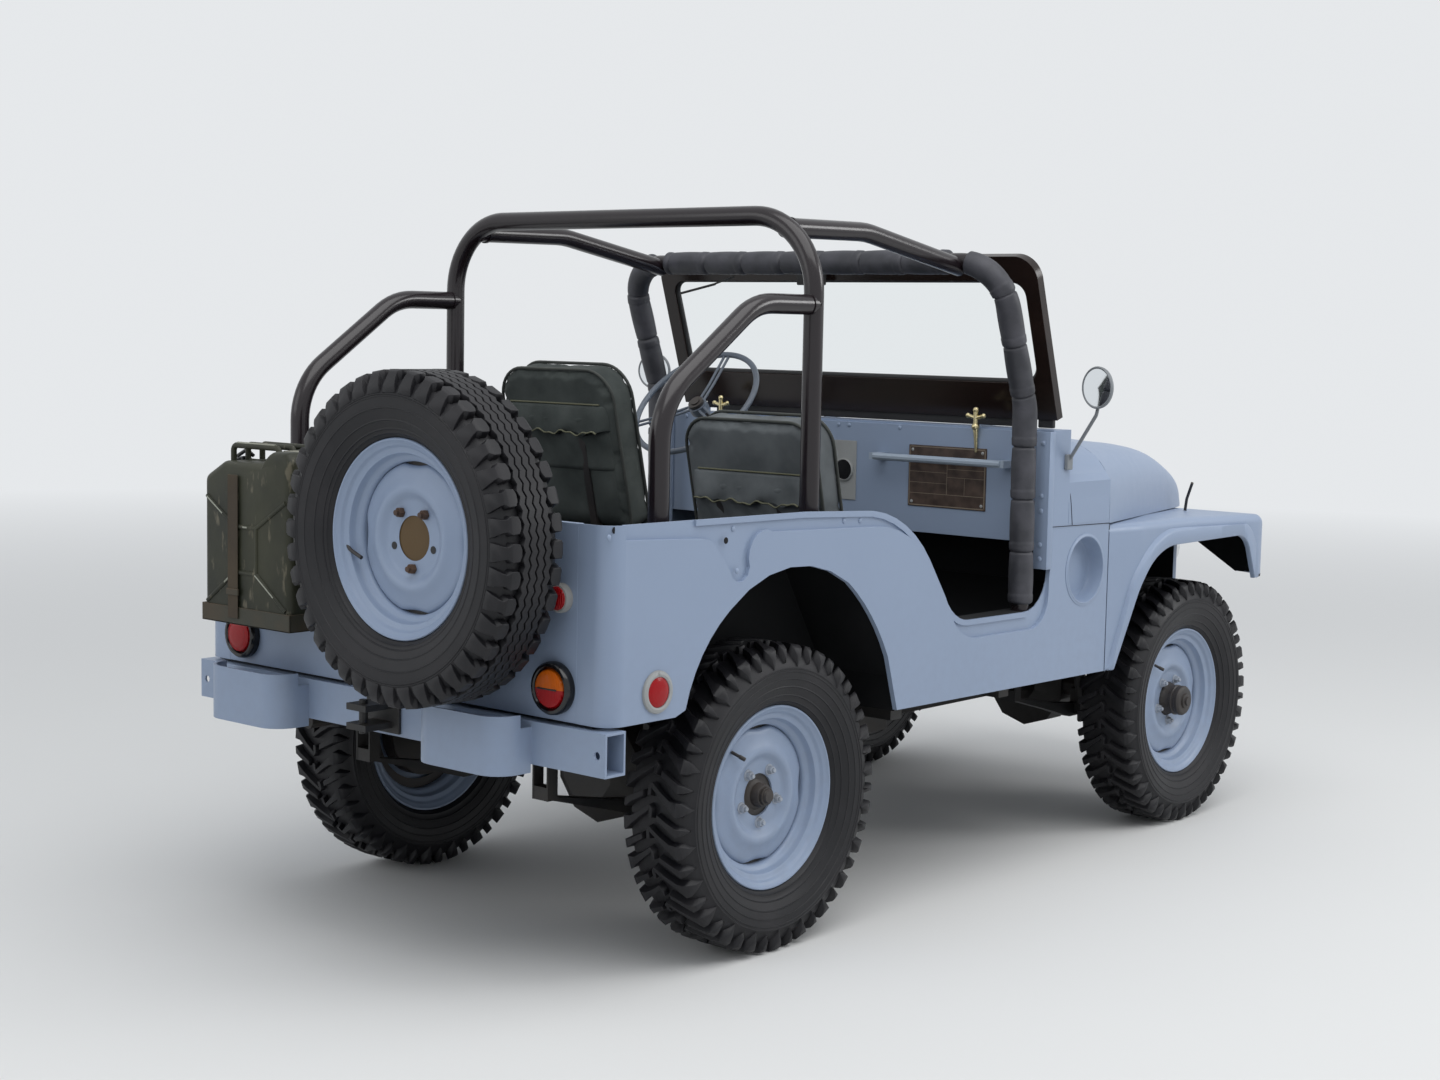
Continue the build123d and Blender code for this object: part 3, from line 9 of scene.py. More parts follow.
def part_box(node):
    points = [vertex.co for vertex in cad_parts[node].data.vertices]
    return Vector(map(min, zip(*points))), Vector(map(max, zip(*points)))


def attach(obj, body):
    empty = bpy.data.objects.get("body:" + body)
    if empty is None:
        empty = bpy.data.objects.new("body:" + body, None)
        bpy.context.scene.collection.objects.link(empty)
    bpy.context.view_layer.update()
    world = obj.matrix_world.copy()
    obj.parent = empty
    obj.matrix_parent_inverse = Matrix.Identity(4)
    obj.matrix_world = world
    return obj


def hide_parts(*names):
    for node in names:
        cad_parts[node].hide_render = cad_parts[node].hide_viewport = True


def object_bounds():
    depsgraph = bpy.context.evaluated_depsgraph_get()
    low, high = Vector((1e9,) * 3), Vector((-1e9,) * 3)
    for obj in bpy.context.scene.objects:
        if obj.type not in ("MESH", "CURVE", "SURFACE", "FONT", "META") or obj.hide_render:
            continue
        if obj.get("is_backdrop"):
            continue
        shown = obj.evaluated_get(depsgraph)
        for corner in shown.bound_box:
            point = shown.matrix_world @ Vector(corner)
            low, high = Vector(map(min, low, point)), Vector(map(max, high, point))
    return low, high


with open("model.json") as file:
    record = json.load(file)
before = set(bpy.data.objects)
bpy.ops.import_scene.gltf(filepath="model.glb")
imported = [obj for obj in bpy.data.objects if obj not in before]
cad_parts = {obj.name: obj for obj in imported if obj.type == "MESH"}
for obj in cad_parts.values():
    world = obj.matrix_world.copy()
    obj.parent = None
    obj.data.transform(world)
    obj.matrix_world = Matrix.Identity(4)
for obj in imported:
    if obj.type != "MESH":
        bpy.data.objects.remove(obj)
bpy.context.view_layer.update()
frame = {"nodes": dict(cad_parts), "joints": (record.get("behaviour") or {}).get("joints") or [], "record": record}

# Frame rails, springs and everything black underneath: pressed and forged steel with
# chassis black, road dust in the corners and oil on what turns. The CAD pieces keep
# their shape and get broken edges.
rear_hub = next(j for j in frame["joints"] if j["name"] == "wheel_rear_left_roll")["pos_m"]


def spot(x, y, z):
    """A place given in millimetres from the rear axle and the ground, X forwards and Y to the left."""
    return Vector((rear_hub[0] + x / 1000, y / 1000, z / 1000))


class Shade:
    """A number in a paint's node tree that takes part in sums."""

    def __init__(self, paint, socket):
        self.paint = paint
        self.socket = socket

    def __add__(self, other):
        return self.paint.node("ShaderNodeMath", {"operation": "ADD"}, [self, other])

    def __mul__(self, other):
        return self.paint.node("ShaderNodeMath", {"operation": "MULTIPLY"}, [self, other])

    __radd__ = __add__
    __rmul__ = __mul__

    def within(self, low, high):
        """0 at low and 1 at high, held beyond them."""
        return self.paint.node("ShaderNodeMapRange", {"clamp": True}, [self, low, high, 0.0, 1.0])


class Paint:
    """One finish, built up from expressions on its own nodes."""

    def __init__(self, name, colour, roughness, metallic=0.0, **fixed):
        self.material = bpy.data.materials.new(name)
        self.material.use_nodes = True
        self.nodes = self.material.node_tree.nodes
        self.links = self.material.node_tree.links
        self.shader = self.nodes["Principled BSDF"]
        self.put("Base Color", colour)
        self.put("Roughness", roughness)
        self.put("Metallic", metallic)
        for socket, value in fixed.items():
            self.put(socket.replace("_", " "), value)
        self.material.diffuse_color = (*colour[:3], 1)
        self.place = self.node("ShaderNodeTexCoord", {}, [], "Object")

    def put(self, socket, value):
        target = self.shader.inputs[socket]
        if isinstance(value, Shade):
            self.links.new(value.socket, target)
        elif isinstance(value, tuple):
            target.default_value = (*value[:3], 1)
        else:
            target.default_value = value

    def node(self, kind, settings, values, output=0):
        made = self.nodes.new(kind)
        for name, setting in settings.items():
            if name == "stops":
                while len(made.color_ramp.elements) < len(setting):
                    made.color_ramp.elements.new(0.5)
                for stop, (at, colour) in zip(made.color_ramp.elements, setting):
                    stop.position = at
                    stop.color = (*colour, 1)
            else:
                setattr(made, name, setting)
        pairs = values.items() if isinstance(values, dict) else enumerate(values)
        for key, value in pairs:
            if isinstance(value, Shade):
                self.links.new(value.socket, made.inputs[key])
            elif isinstance(value, tuple) and made.inputs[key].type == "RGBA":
                made.inputs[key].default_value = (*value[:3], 1)
            else:
                made.inputs[key].default_value = value
        return Shade(self, made.outputs[output])

    def noise(self, scale, detail=3.0, stretch=(1, 1, 1)):
        where = self.node("ShaderNodeMapping", {}, {"Vector": self.place, "Scale": stretch})
        return self.node("ShaderNodeTexNoise", {}, {"Vector": where, "Scale": scale, "Detail": detail})

    def mix(self, share, first, second):
        return self.node("ShaderNodeMix", {"data_type": "RGBA"}, {0: share, 6: first, 7: second}, 2)

    def along(self, axis):
        return self.node("ShaderNodeSeparateXYZ", {}, [self.place], axis)

    def facing_up(self):
        normal = self.node("ShaderNodeNewGeometry", {}, [], "Normal")
        return self.node("ShaderNodeSeparateXYZ", {}, [normal], "Z")

    def bump(self, height, depth, strength=1.0):
        values = {"Height": height, "Distance": depth, "Strength": strength}
        self.put("Normal", self.node("ShaderNodeBump", {}, values))


def dusty(name, colour, dust, roughness, amount, **fixed):
    """Paint or iron with dust lying on what faces up and grime in clouds."""
    paint = Paint(name, colour, roughness, **fixed)
    clouds = paint.noise(7.0, 6.0)
    lying = paint.facing_up().within(0.2, 1.0) * amount + clouds.within(0.45, 0.75) * amount
    paint.put("Base Color", paint.mix(lying, colour, dust))
    paint.put("Roughness", roughness + clouds * 0.25)
    paint.bump(paint.noise(140.0, 4.0), 0.0006, 0.5)
    return paint.material


road_dust = (0.11, 0.095, 0.075)
chassis_black = dusty("chassis_black", (0.012, 0.012, 0.013), road_dust, 0.45, 0.22)
oily_iron = dusty("oily_iron", (0.016, 0.014, 0.013), (0.06, 0.045, 0.032), 0.4, 0.35)


def held(name, data):
    """A new object in the scene that holds a mesh or other data."""
    holder = bpy.data.objects.new(name, data)
    bpy.context.scene.collection.objects.link(holder)
    return holder


def keep_piece(name, mesh, finish, body, replaces=(), sharp=35.0):
    """A finished mesh becomes a piece of the car."""
    piece = held(name, mesh)
    if finish is not None:
        mesh.materials.clear()
        mesh.materials.append(finish)
    mesh.set_sharp_from_angle(angle=math.radians(sharp))
    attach(piece, body)
    if replaces:
        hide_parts(*replaces)
    return piece


def body_of(node):
    return next(b for b, members in frame["record"]["behaviour"]["bodies"].items() if node in members)


def rear_face(face):
    return face.normal.x < -0.5


def eased(node, finish, width=1.0, segments=2, angle=30.0, under=None, hidden=rear_face):
    """A merged copy of a rigid piece with broken edges, standing for it; under paints its hidden side, as painted
    shade.
    """
    mesh = frame["nodes"][node].data.copy()
    form = bmesh.new()
    form.from_mesh(mesh)
    bmesh.ops.remove_doubles(form, verts=form.verts, dist=2e-5)
    bmesh.ops.dissolve_limit(form, angle_limit=math.radians(0.6), verts=form.verts, edges=form.edges)
    form.to_mesh(mesh)
    form.free()
    for attribute in [a.name for a in mesh.attributes if a.name == "custom_normal"]:
        mesh.attributes.remove(mesh.attributes[attribute])
    mesh.shade_smooth()
    piece = keep_piece(node + "_eased", mesh, finish, body_of(node), [node], angle)
    if under is not None:
        mesh.materials.append(under)
        for face in mesh.polygons:
            face.material_index = int(hidden(face))
    edge = piece.modifiers.new("edge", "BEVEL")
    edge.width = width / 1000
    edge.segments = segments
    edge.limit_method = "ANGLE"
    edge.angle_limit = math.radians(angle)
    edge.miter_outer = "MITER_ARC"
    flats = piece.modifiers.new("flats", "WEIGHTED_NORMAL")
    flats.keep_sharp = False
    return piece


for node in ("frame_rails", "springs", "radiator", "floor_controls", "spare_carrier", "tow_jaw"):
    eased(node, chassis_black)
for node in ("engine", "gearbox", "axle_front", "axle_rear", "drive_shafts", "exhaust",
             "knuckle_left", "knuckle_right", "tie_rod"):
    eased(node, oily_iron, 1.5)

# Tyres: four cross-country tyres with herringbone bars that run over the shoulder, and
# an older road tyre on the spare rim with zigzag ribs. One pitch of tread is modelled
# and set round the carcass.
front_hub = next(j for j in frame["joints"] if j["name"] == "wheel_front_left_roll")["pos_m"]
wheel_centres = {end + side: Vector((x, y * s, z))
                 for end, (x, y, z) in (("front", front_hub), ("rear", rear_hub))
                 for side, s in (("_left", 1), ("_right", -1))}
tread_r = 386.0
groove_r = 369.0
pitches = 23
spare_pitches = 40

rubber = Paint("tyre_rubber", (0.012, 0.012, 0.014), 0.5, Specular_IOR_Level=0.36)
grit = rubber.noise(9.0, 5.0)
worn_rubber = grit.within(0.45, 0.8) * 0.5
rubber.put("Base Color", rubber.mix(worn_rubber, (0.0055, 0.0055, 0.0075), (0.030, 0.028, 0.031)))
rubber.put("Roughness", 0.36 + grit * 0.3)
rubber.bump(rubber.noise(260.0, 3.0), 0.0004, 0.6)


def plain_mesh(name, points, faces):
    mesh = bpy.data.meshes.new(name)
    mesh.from_pydata([tuple(p) for p in points], [], faces)
    form = bmesh.new()
    form.from_mesh(mesh)
    bmesh.ops.remove_doubles(form, verts=form.verts, dist=1e-6)
    bmesh.ops.recalc_face_normals(form, faces=form.faces)
    form.to_mesh(mesh)
    form.free()
    mesh.shade_smooth()
    return mesh


def joined(name, meshes):
    """Several meshes as one, each keeping its material."""
    form = bmesh.new()
    finishes = []
    for mesh in meshes:
        start = len(form.faces)
        form.from_mesh(mesh)
        form.faces.ensure_lookup_table()
        own = list(mesh.materials) or [None]
        for face in form.faces[start:]:
            finish = own[min(face.material_index, len(own) - 1)]
            if finish not in finishes:
                finishes.append(finish)
            face.material_index = finishes.index(finish)
    whole = bpy.data.meshes.new(name)
    form.to_mesh(whole)
    form.free()
    for finish in finishes:
        whole.materials.append(finish)
    whole.shade_smooth()
    return whole


def turned(name, rows, steps=96):
    """A piece turned about Y from rows of (radius, y) in millimetres, closed at its ends."""
    points = []
    faces = []
    for k in range(steps):
        a = 2 * math.pi * k / steps
        points += [Vector((r * math.cos(a), y, r * math.sin(a))) / 1000 for r, y in rows]
    n = len(rows)
    for k in range(steps):
        for i in range(n - 1):
            a = k * n + i
            b = (k + 1) % steps * n + i
            faces.append((a, b, b + 1, a + 1))
    return plain_mesh(name, points, faces)


def tree_for(name, **kinds):
    """A node tree with these inputs, and its node that gives them."""
    tree = bpy.data.node_groups.new(name, "GeometryNodeTree")
    for label, kind in kinds.items():
        tree.interface.new_socket(label, in_out="INPUT", socket_type="NodeSocket" + kind)
    tree.interface.new_socket("Geometry", in_out="OUTPUT", socket_type="NodeSocketGeometry")
    return tree, tree.nodes.new("NodeGroupInput")


def set_on(tree, given, points, instance, key, placing):
    """Ends a tree with copies of an instance on points, made real and painted."""
    add = tree.nodes.new
    link = tree.links.new
    copies = add("GeometryNodeInstanceOnPoints")
    link(points, copies.inputs["Points"])
    link(instance, copies.inputs["Instance"])
    link(placing, copies.inputs[key])
    real = add("GeometryNodeRealizeInstances")
    link(copies.outputs[0], real.inputs[0])
    coat = add("GeometryNodeSetMaterial")
    link(real.outputs[0], coat.inputs["Geometry"])
    link(given.outputs["Finish"], coat.inputs["Material"])
    link(coat.outputs[0], add("NodeGroupOutput").inputs[0])
    return tree


def ring_tree():
    """A node tree that sets its mesh round the Y axis, Count times."""
    tree, given = tree_for("set_round", Geometry="Geometry", Count="Int", First="Float", Finish="Material")
    add = tree.nodes.new
    link = tree.links.new
    line = add("GeometryNodeMeshLine")
    line.inputs["Offset"].default_value = (0, 0, 0)
    link(given.outputs["Count"], line.inputs["Count"])
    index = add("GeometryNodeInputIndex")
    share = add("ShaderNodeMath")
    share.operation = "DIVIDE"
    link(index.outputs[0], share.inputs[0])
    link(given.outputs["Count"], share.inputs[1])
    turn = add("ShaderNodeMath")
    turn.operation = "MULTIPLY_ADD"
    turn.inputs[1].default_value = 2 * math.pi
    link(share.outputs[0], turn.inputs[0])
    link(given.outputs["First"], turn.inputs[2])
    spin = add("ShaderNodeCombineXYZ")
    link(turn.outputs[0], spin.inputs["Y"])
    return set_on(tree, given, line.outputs[0], given.outputs["Geometry"], "Rotation", spin.outputs[0])


set_round = ring_tree()


def settled(holder):
    """The plain mesh that a holder's modifiers make; the holder goes."""
    bpy.context.view_layer.update()
    made = bpy.data.meshes.new_from_object(holder.evaluated_get(bpy.context.evaluated_depsgraph_get()))
    bpy.data.objects.remove(holder)
    return made


def grown(name, mesh, tree, **values):
    """The plain mesh that a node tree makes of a mesh."""
    holder = held(name, mesh)
    growth = holder.modifiers.new("growth", "NODES")
    growth.node_group = tree
    for item in tree.interface.items_tree:
        if item.item_type == "SOCKET" and item.in_out == "INPUT" and item.name in values:
            growth[item.identifier] = values[item.name]
    return settled(holder)


def softened(mesh, width, segments=1):
    """A mesh with its edges rounded to a width in millimetres."""
    holder = held(mesh.name, mesh)
    edge = holder.modifiers.new("edge", "BEVEL")
    edge.width = width / 1000
    edge.segments = segments
    edge.limit_method = "ANGLE"
    edge.angle_limit = math.radians(25)
    return settled(holder)


def bar(stations):
    """A tread bar through stations of (y, r, inner y, inner r, start and end round the tread)."""
    points = []
    for y, r, y_in, r_in, c0, c1 in stations:
        corners = ((r, y, c0 + 2), (r, y, c1 - 2), (r_in, y_in, c1 + 2), (r_in, y_in, c0 - 2))
        for radius, across, c in corners:
            a = c / tread_r
            points.append(Vector((radius * math.sin(a), across, radius * math.cos(a))) / 1000)
    faces = [(0, 1, 2, 3), tuple(range(len(points) - 4, len(points)))[::-1]]
    for k in range(0, len(points) - 4, 4):
        faces += [(k + i, k + (i + 1) % 4, k + 4 + (i + 1) % 4, k + 4 + i) for i in range(4)]
    return plain_mesh("bar", points, faces)


def leaning_bar(side, c, lean, width, sections):
    """A bar through sections of (y, r, inner y, inner r, share of the lean, share of the width)."""
    rows = []
    for y, r, y_in, r_in, share, wide in sections:
        middle = c + lean * share
        rows.append((side * y, r, side * y_in, r_in, middle - width * wide / 2, middle + width * wide / 2))
    return bar(rows)


# a bar from near the middle to the shoulder and on down the sidewall, and the narrower one
# between two of these, from beside the hook to the shoulder
wide_bar = ((1, 386, 1, 366, 0, 0.42), (30, 386, 30, 366, 0.4, 0.46), (60, 385, 60, 365, 0.8, 0.6),
            (80, 384, 76, 360, 1, 1), (90, 376, 82, 354, 1, 0.9), (97, 358, 87, 346, 1, 0.5),
            (96, 330, 88, 334, 1, 0.1))
spur_bar = ((24, 386, 24, 366, 0, 0.7), (60, 386, 60, 365, 0.6, 0.8), (80, 384, 76, 360, 1, 1),
            (90, 375, 82, 354, 1, 0.8), (96.5, 354, 87, 346, 1, 0.36), (96, 342, 89, 338, 1, 0.1))


def hook(side, c):
    """The short leg that turns back from a bar's inner end."""
    rows = [(side * y, 386, side * y, 366, c + a, c + b) for y, a, b in ((-9, 2, 26), (1, -9, 26))]
    return bar(rows)


def carcass(ribs):
    """Both sidewalls and the groove bottom; ribs are thin rings on the sidewall."""
    half = [(groove_r, 0), (groove_r, 40), (groove_r - 2, 66), (groove_r - 7, 77), (351, 85), (340, 90.5)]
    for r in ribs:
        half += [(r + 2.0, wall_y(r + 2.0)), (r + 1, wall_y(r) + 1.3), (r - 1, wall_y(r) + 1.3),
                 (r - 2.0, wall_y(r - 2.0))]
    half += [(r, wall_y(r)) for r in (236, 233.5)]
    half += [(231.5, 61.5), (230, 57), (222, 52), (214, 46), (206, 43)]
    rows = [(r, -y) for r, y in reversed(half)] + half[1:] + [(199, 41), (199, -41), (206, -43)]
    return turned("carcass", rows, 144)


def wall_y(r):
    """How far the bulging sidewall stands out at a radius."""
    share = (r - 232.0) / (342.0 - 232.0)
    return 62.0 + 33.0 * math.sin(min(1.0, max(0.0, share)) * 1.95) ** 0.75


pitch_length = 2 * math.pi * tread_r / pitches
lugs = []
for side, offset in ((1, 0.0), (-1, 0.5 * pitch_length)):
    lugs.append(leaning_bar(side, offset, 50.0, 40.0, wide_bar))
    lugs.append(hook(side, offset))
    lugs.append(leaning_bar(side, offset + 0.52 * pitch_length + 20.0, 30.0, 25.0, spur_bar))
road_pitch = softened(joined("road_pitch", lugs), 1.0)
road_tread = grown("road_tread", road_pitch, set_round, Count=pitches, First=0.0, Finish=rubber.material)
road_carcass = carcass((326, 318, 300, 280, 258, 243))
road_carcass.materials.append(rubber.material)
for end, centre in wheel_centres.items():
    tyre = joined("tyre_" + end, [road_tread, road_carcass])
    side = 1 if centre.y > 0 else -1
    tyre.transform(Matrix.Translation(centre) @ Matrix.Rotation(0 if side > 0 else math.pi, 4, "Z"))
    keep_piece(f"tyre_{end}_shown", tyre, None, "wheel_" + end, [f"tyre_{end}"])


def rib(y0, y1, zig, phase):
    """One pitch of a zigzag rib between two grooves."""
    length = 2 * math.pi * tread_r / spare_pitches
    points = []
    faces = []
    for k in range(5):
        c = length * k / 4
        shift = zig if (k + phase) % 2 else -zig
        for y, r in ((y0 + shift, 370), (y0 + shift, 385.5), (y1 + shift, 385.5), (y1 + shift, 370)):
            a = c / tread_r
            points.append(Vector((r * math.sin(a), y, r * math.cos(a))) / 1000)
    for k in range(4):
        faces += [(4 * k + i, 4 * k + i + 1, 4 * k + i + 5, 4 * k + i + 4) for i in range(3)]
    return plain_mesh("rib", points, faces)


def block(side, length):
    """A shoulder block of the spare's tread with its six-sided knob at the top."""
    half_widths = ((46, 385, 46, 366, 0.15), (53, 386, 53, 366, 0.35), (74, 386, 72, 362, 0.37),
                   (82, 381, 76, 360, 0.25), (88, 371, 82, 354, 0.28), (95, 350, 86, 344, 0.38),
                   (95.5, 334, 88, 332, 0.44))
    return bar([(side * y, r, side * y_in, r_in, -length * half, length * half)
                for y, r, y_in, r_in, half in half_widths])


spare_length = 2 * math.pi * tread_r / spare_pitches
spare_lugs = [block(1, spare_length), block(-1, spare_length)]
for y0, y1, phase in ((-40, -24, 0), (-19.5, -2.2, 0), (2.2, 19.5, 0), (24, 40, 0)):
    spare_lugs.append(rib(y0, y1, 3.6, phase))
spare_pitch = softened(joined("spare_pitch", spare_lugs), 0.8)
spare_tread = grown("spare_tread", spare_pitch, set_round, Count=spare_pitches, First=0.0,
                    Finish=rubber.material)
spare_carcass = carcass((331, 326, 300, 272, 252, 243))
spare_carcass.materials.append(rubber.material)
spare_low, spare_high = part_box("spare_tyre")
spare_centre = (spare_low + spare_high) / 2
spare_tyre = joined("spare_tyre", [spare_tread, spare_carcass])
spare_tyre.transform(Matrix.Translation(spare_centre) @ Matrix.Rotation(math.pi / 2, 4, "Z"))
keep_piece("spare_tyre_shown", spare_tyre, None, "chassis", ["spare_tyre"])

# Wheels: rolled steel rims with stepped beads and a welded, dished disc, painted body
# colour. Five nuts hold each on its hub; behind the disc is the dark brake drum.
body_grey = Paint("body_grey", (0.242, 0.305, 0.422), 0.42)
drift = body_grey.noise(1.6, 4.0)
fine = body_grey.noise(34.0, 5.0)
soiled = body_grey.along("Z").within(0.95, 0.35) * fine.within(0.35, 0.8) * 0.14
tone = body_grey.mix(drift, (0.225, 0.287, 0.400), (0.259, 0.323, 0.444))
body_grey.put("Base Color", body_grey.mix(soiled, tone, (0.17, 0.165, 0.155)))
body_grey.put("Roughness", 0.34 + fine * 0.16)
body_grey.bump(body_grey.noise(420.0, 2.0), 0.00012, 0.5)
grey = body_grey.material
nut_steel = dusty("nut_steel", (0.34, 0.38, 0.44), (0.12, 0.1, 0.08), 0.4, 0.3)
dark_iron = dusty("dark_iron", (0.02, 0.018, 0.018), (0.09, 0.07, 0.055), 0.38, 0.3)
stud_circle_r = 70.0


def coated(mesh, finish):
    mesh.materials.clear()
    mesh.materials.append(finish)
    return mesh


def disc(thick, centre_r):
    """Dished disc with its pressed ring; the front rows come back behind it."""
    front = [(centre_r, 16.0), (60, 17.2), (84, 17.2), (90, 18.2), (96, 22), (103, 28), (111, 31.8),
             (119, 31.2), (127, 28), (136, 24), (148, 21), (160, 19), (168, 17), (173, 13.5), (175.5, 7)]
    back = [(r - 1.0, y - thick) for r, y in reversed(front)]
    return front + back


def rim_rows():
    """The rim's section from its well to its flange and back, mirrored."""
    half = [(176, 0), (176, 14), (178, 20), (183, 24), (189, 26), (192, 29.5), (193.5, 38), (196, 44),
            (201, 46.5), (207, 47.5), (210.5, 50), (212.5, 54), (216, 57.5), (220.5, 59.5), (223, 62.5),
            (226, 65.5), (229, 65.8), (231, 63.8), (231.3, 60.5)]
    back = [(228, 61), (225, 59), (222, 55.5), (217, 53), (213, 48), (207, 44), (198, 40), (196, 28),
            (181, 14), (180, 0)]
    outer = half + back
    return outer + [(r, -y) for r, y in reversed(outer)][1:-1] + [outer[0]]


def hexagon(r, height):
    """A nut standing along Y, with chamfered corners."""
    rows = [(r, 0), (r, height * 0.75), (r * 0.86, height), (r * 0.5, height), (0.01, height)]
    return turned("head", rows, 6)


def wheel_nuts(count, y):
    nut = hexagon(11.5, 14)
    stud = turned("stud", [(6, 0), (6, 19), (4.5, 21), (0.01, 21)], 14)
    seat = turned("seat", [(15, 0), (14, 2.5), (10, 3)], 20)
    one = joined("nut", [nut, stud, seat])
    one.transform(Matrix.Translation((stud_circle_r / 1000, y / 1000, 0)))
    return grown("nuts", one, set_round, Count=count, First=0.35, Finish=nut_steel)


def hub_cap(kind):
    """Rear hub with its dust cap, or the front hub with its locking drum."""
    if kind == "rear":
        rows = [(53, -34), (53, 6), (40, 10), (36, 14), (31, 16), (29, 34), (27, 38), (20, 40), (17, 50),
                (15, 54), (0.01, 55)]
    else:
        rows = [(54, -34), (54, 14), (50, 24), (46, 30), (46, 44), (48, 46), (48, 52), (45, 54), (45, 62),
                (47, 64), (47, 72), (43, 77), (40, 79), (24, 79), (23, 84), (15, 86), (14, 92), (0.01, 92)]
    return turned("hub", rows, 40)


def valve(r, y):
    stem = turned("stem", [(0.01, 0), (4, 0), (4, 22), (5.2, 23), (5.2, 38), (4, 40), (0.01, 40)], 12)
    lean = Matrix.Translation((-r / 1000, y / 1000, 0)) @ Matrix.Rotation(math.radians(-35), 4, "Z")
    stem.transform(Matrix.Rotation(math.radians(132), 4, "Y") @ lean)
    return stem


def gapped(mesh, count, depth):
    """The disc's edge drawn in between its welds, so that the well shows as dark crescents."""
    for vertex in mesh.vertices:
        r = math.hypot(vertex.co.x, vertex.co.z)
        bite = max(0.0, math.cos(count * math.atan2(vertex.co.z, vertex.co.x)) - 0.55) / 0.45
        share = min(1.0, max(0.0, (r * 1000 - 148) / 20)) * bite * depth / 1000
        vertex.co.x -= vertex.co.x / r * share
        vertex.co.z -= vertex.co.z / r * share
    return mesh


def rim_mesh(name, kind):
    own = [coated(turned("rim", rim_rows(), 96), grey),
           coated(gapped(turned("disc", disc(4.0, 54 if kind != "spare" else 52), 96), 4, 9.0), grey),
           coated(turned("well_shadow", [(150, 2), (177, 2), (177, 0), (150, 0), (150, 2)], 64), dark_iron)]
    if kind != "spare":
        drum = [(0.01, -31), (134, -31), (134, 9), (126, 11), (0.01, 11)]
        own.append(coated(turned("drum", drum, 64), dark_iron))
        own.append(coated(hub_cap(kind), dark_iron))
        own.append(coated(wheel_nuts(5, 17), nut_steel))
        own.append(coated(valve(166, 20), dark_iron))
    return joined(name, own)


for end, centre in wheel_centres.items():
    kind = end.split("_")[0]
    mesh = rim_mesh("rim_" + end, kind)
    mesh.transform(Matrix.Translation(centre) @ Matrix.Rotation(0 if centre.y > 0 else math.pi, 4, "Z"))
    keep_piece(f"rim_{end}_shown", mesh, None, "wheel_" + end, [f"rim_{end}"])
spare_disc = rim_mesh("rim_spare", "spare")
spare_disc.transform(Matrix.Translation(spare_centre) @ Matrix.Rotation(math.pi / 2, 4, "Z"))
keep_piece("rim_spare_shown", spare_disc, None, "chassis", ["spare_rim"])

# Body: pressed steel panels in one coat of satin blue-grey, rolled at the top rail and
# pressed out 10 mm below it, joined by seams that stay open in the paint.
body_half = 738.0
dash_x = 1200.0
# near-black that stands for painted shade: the tub's inside, the firewall, the grille's back, the fenders'
# undersides and aprons, and the holes; the open seams and the fuel tank use it too
shade_and_seam_black = dusty("shade_and_seam_black", (0.0045, 0.005, 0.006), (0.02, 0.02, 0.021), 0.6, 0.2,
                       Specular_IOR_Level=0.25)


def firewall(face):
    """The wall between the footwell and the engine, in the shade under the dash, which is painted on it in
    near-black.
    """
    return rear_face(face) and face.center.x > spot(dash_x, 0, 0).x


for node, width in (("side_panel_left", 4.0), ("side_panel_right", 4.0), ("rear_panel", 1.5),
                    ("rear_bumper", 1.5), ("dash_panel", 1.5)):
    eased(node, grey, width, 3)
# the firewall under the dash and the grille's back get the near-black painted shade, and the tub is in it all over
eased("cowl", grey, 2.0, 3, under=shade_and_seam_black, hidden=firewall)
eased("grille", grey, 2.0, 3, under=shade_and_seam_black, hidden=rear_face)
eased("body_tub", shade_and_seam_black, 1.5)


def arc_through(a, m, b, runs):
    """Points on the circle through three points, from a to b, turning left."""
    squares = [p[0] ** 2 + p[1] ** 2 for p in (a, m, b)]
    twice = 2 * (a[0] * (m[1] - b[1]) + m[0] * (b[1] - a[1]) + b[0] * (a[1] - m[1]))
    cu = (squares[0] * (m[1] - b[1]) + squares[1] * (b[1] - a[1]) + squares[2] * (a[1] - m[1])) / twice
    cv = (squares[0] * (b[0] - m[0]) + squares[1] * (a[0] - b[0]) + squares[2] * (m[0] - a[0])) / twice
    r = math.hypot(a[0] - cu, a[1] - cv)
    first = math.atan2(a[1] - cv, a[0] - cu)
    last = math.atan2(b[1] - cv, b[0] - cu)
    last += 2 * math.pi if last < first else 0
    return [(cu + r * math.cos(first + (last - first) * k / runs),
             cv + r * math.sin(first + (last - first) * k / runs)) for k in range(runs + 1)]


def relaxed(values, times, ends):
    """A row of tuples with its corners blurred, the first and last few kept."""
    for _ in range(times):
        values = [v if k < ends or k >= len(values) - ends else
                  tuple((p + 2 * q + r) / 4 for p, q, r in zip(values[k - 1], v, values[k + 1]))
                  for k, v in enumerate(values)]
    return values


def hump(half, side_z, shoulder_y, shoulder_z, top_z, low_z):
    """The arched section of the hood and the cowl, as (y, z) from left to right."""
    middle = (shoulder_y + 0.72 * (half - shoulder_y), side_z + 0.72 * (shoulder_z - side_z))
    shoulder = arc_through((half, side_z), middle, (shoulder_y, shoulder_z), 12)
    crown = arc_through((shoulder_y, shoulder_z), (0, top_z), (-shoulder_y, shoulder_z), 30)
    side = [(half, low_z + (side_z - low_z) * k / 6) for k in range(6)]
    points = side + shoulder + crown[1:-1] + [(-y, z) for y, z in reversed(side + shoulder)]
    return relaxed(points, 6, 2)


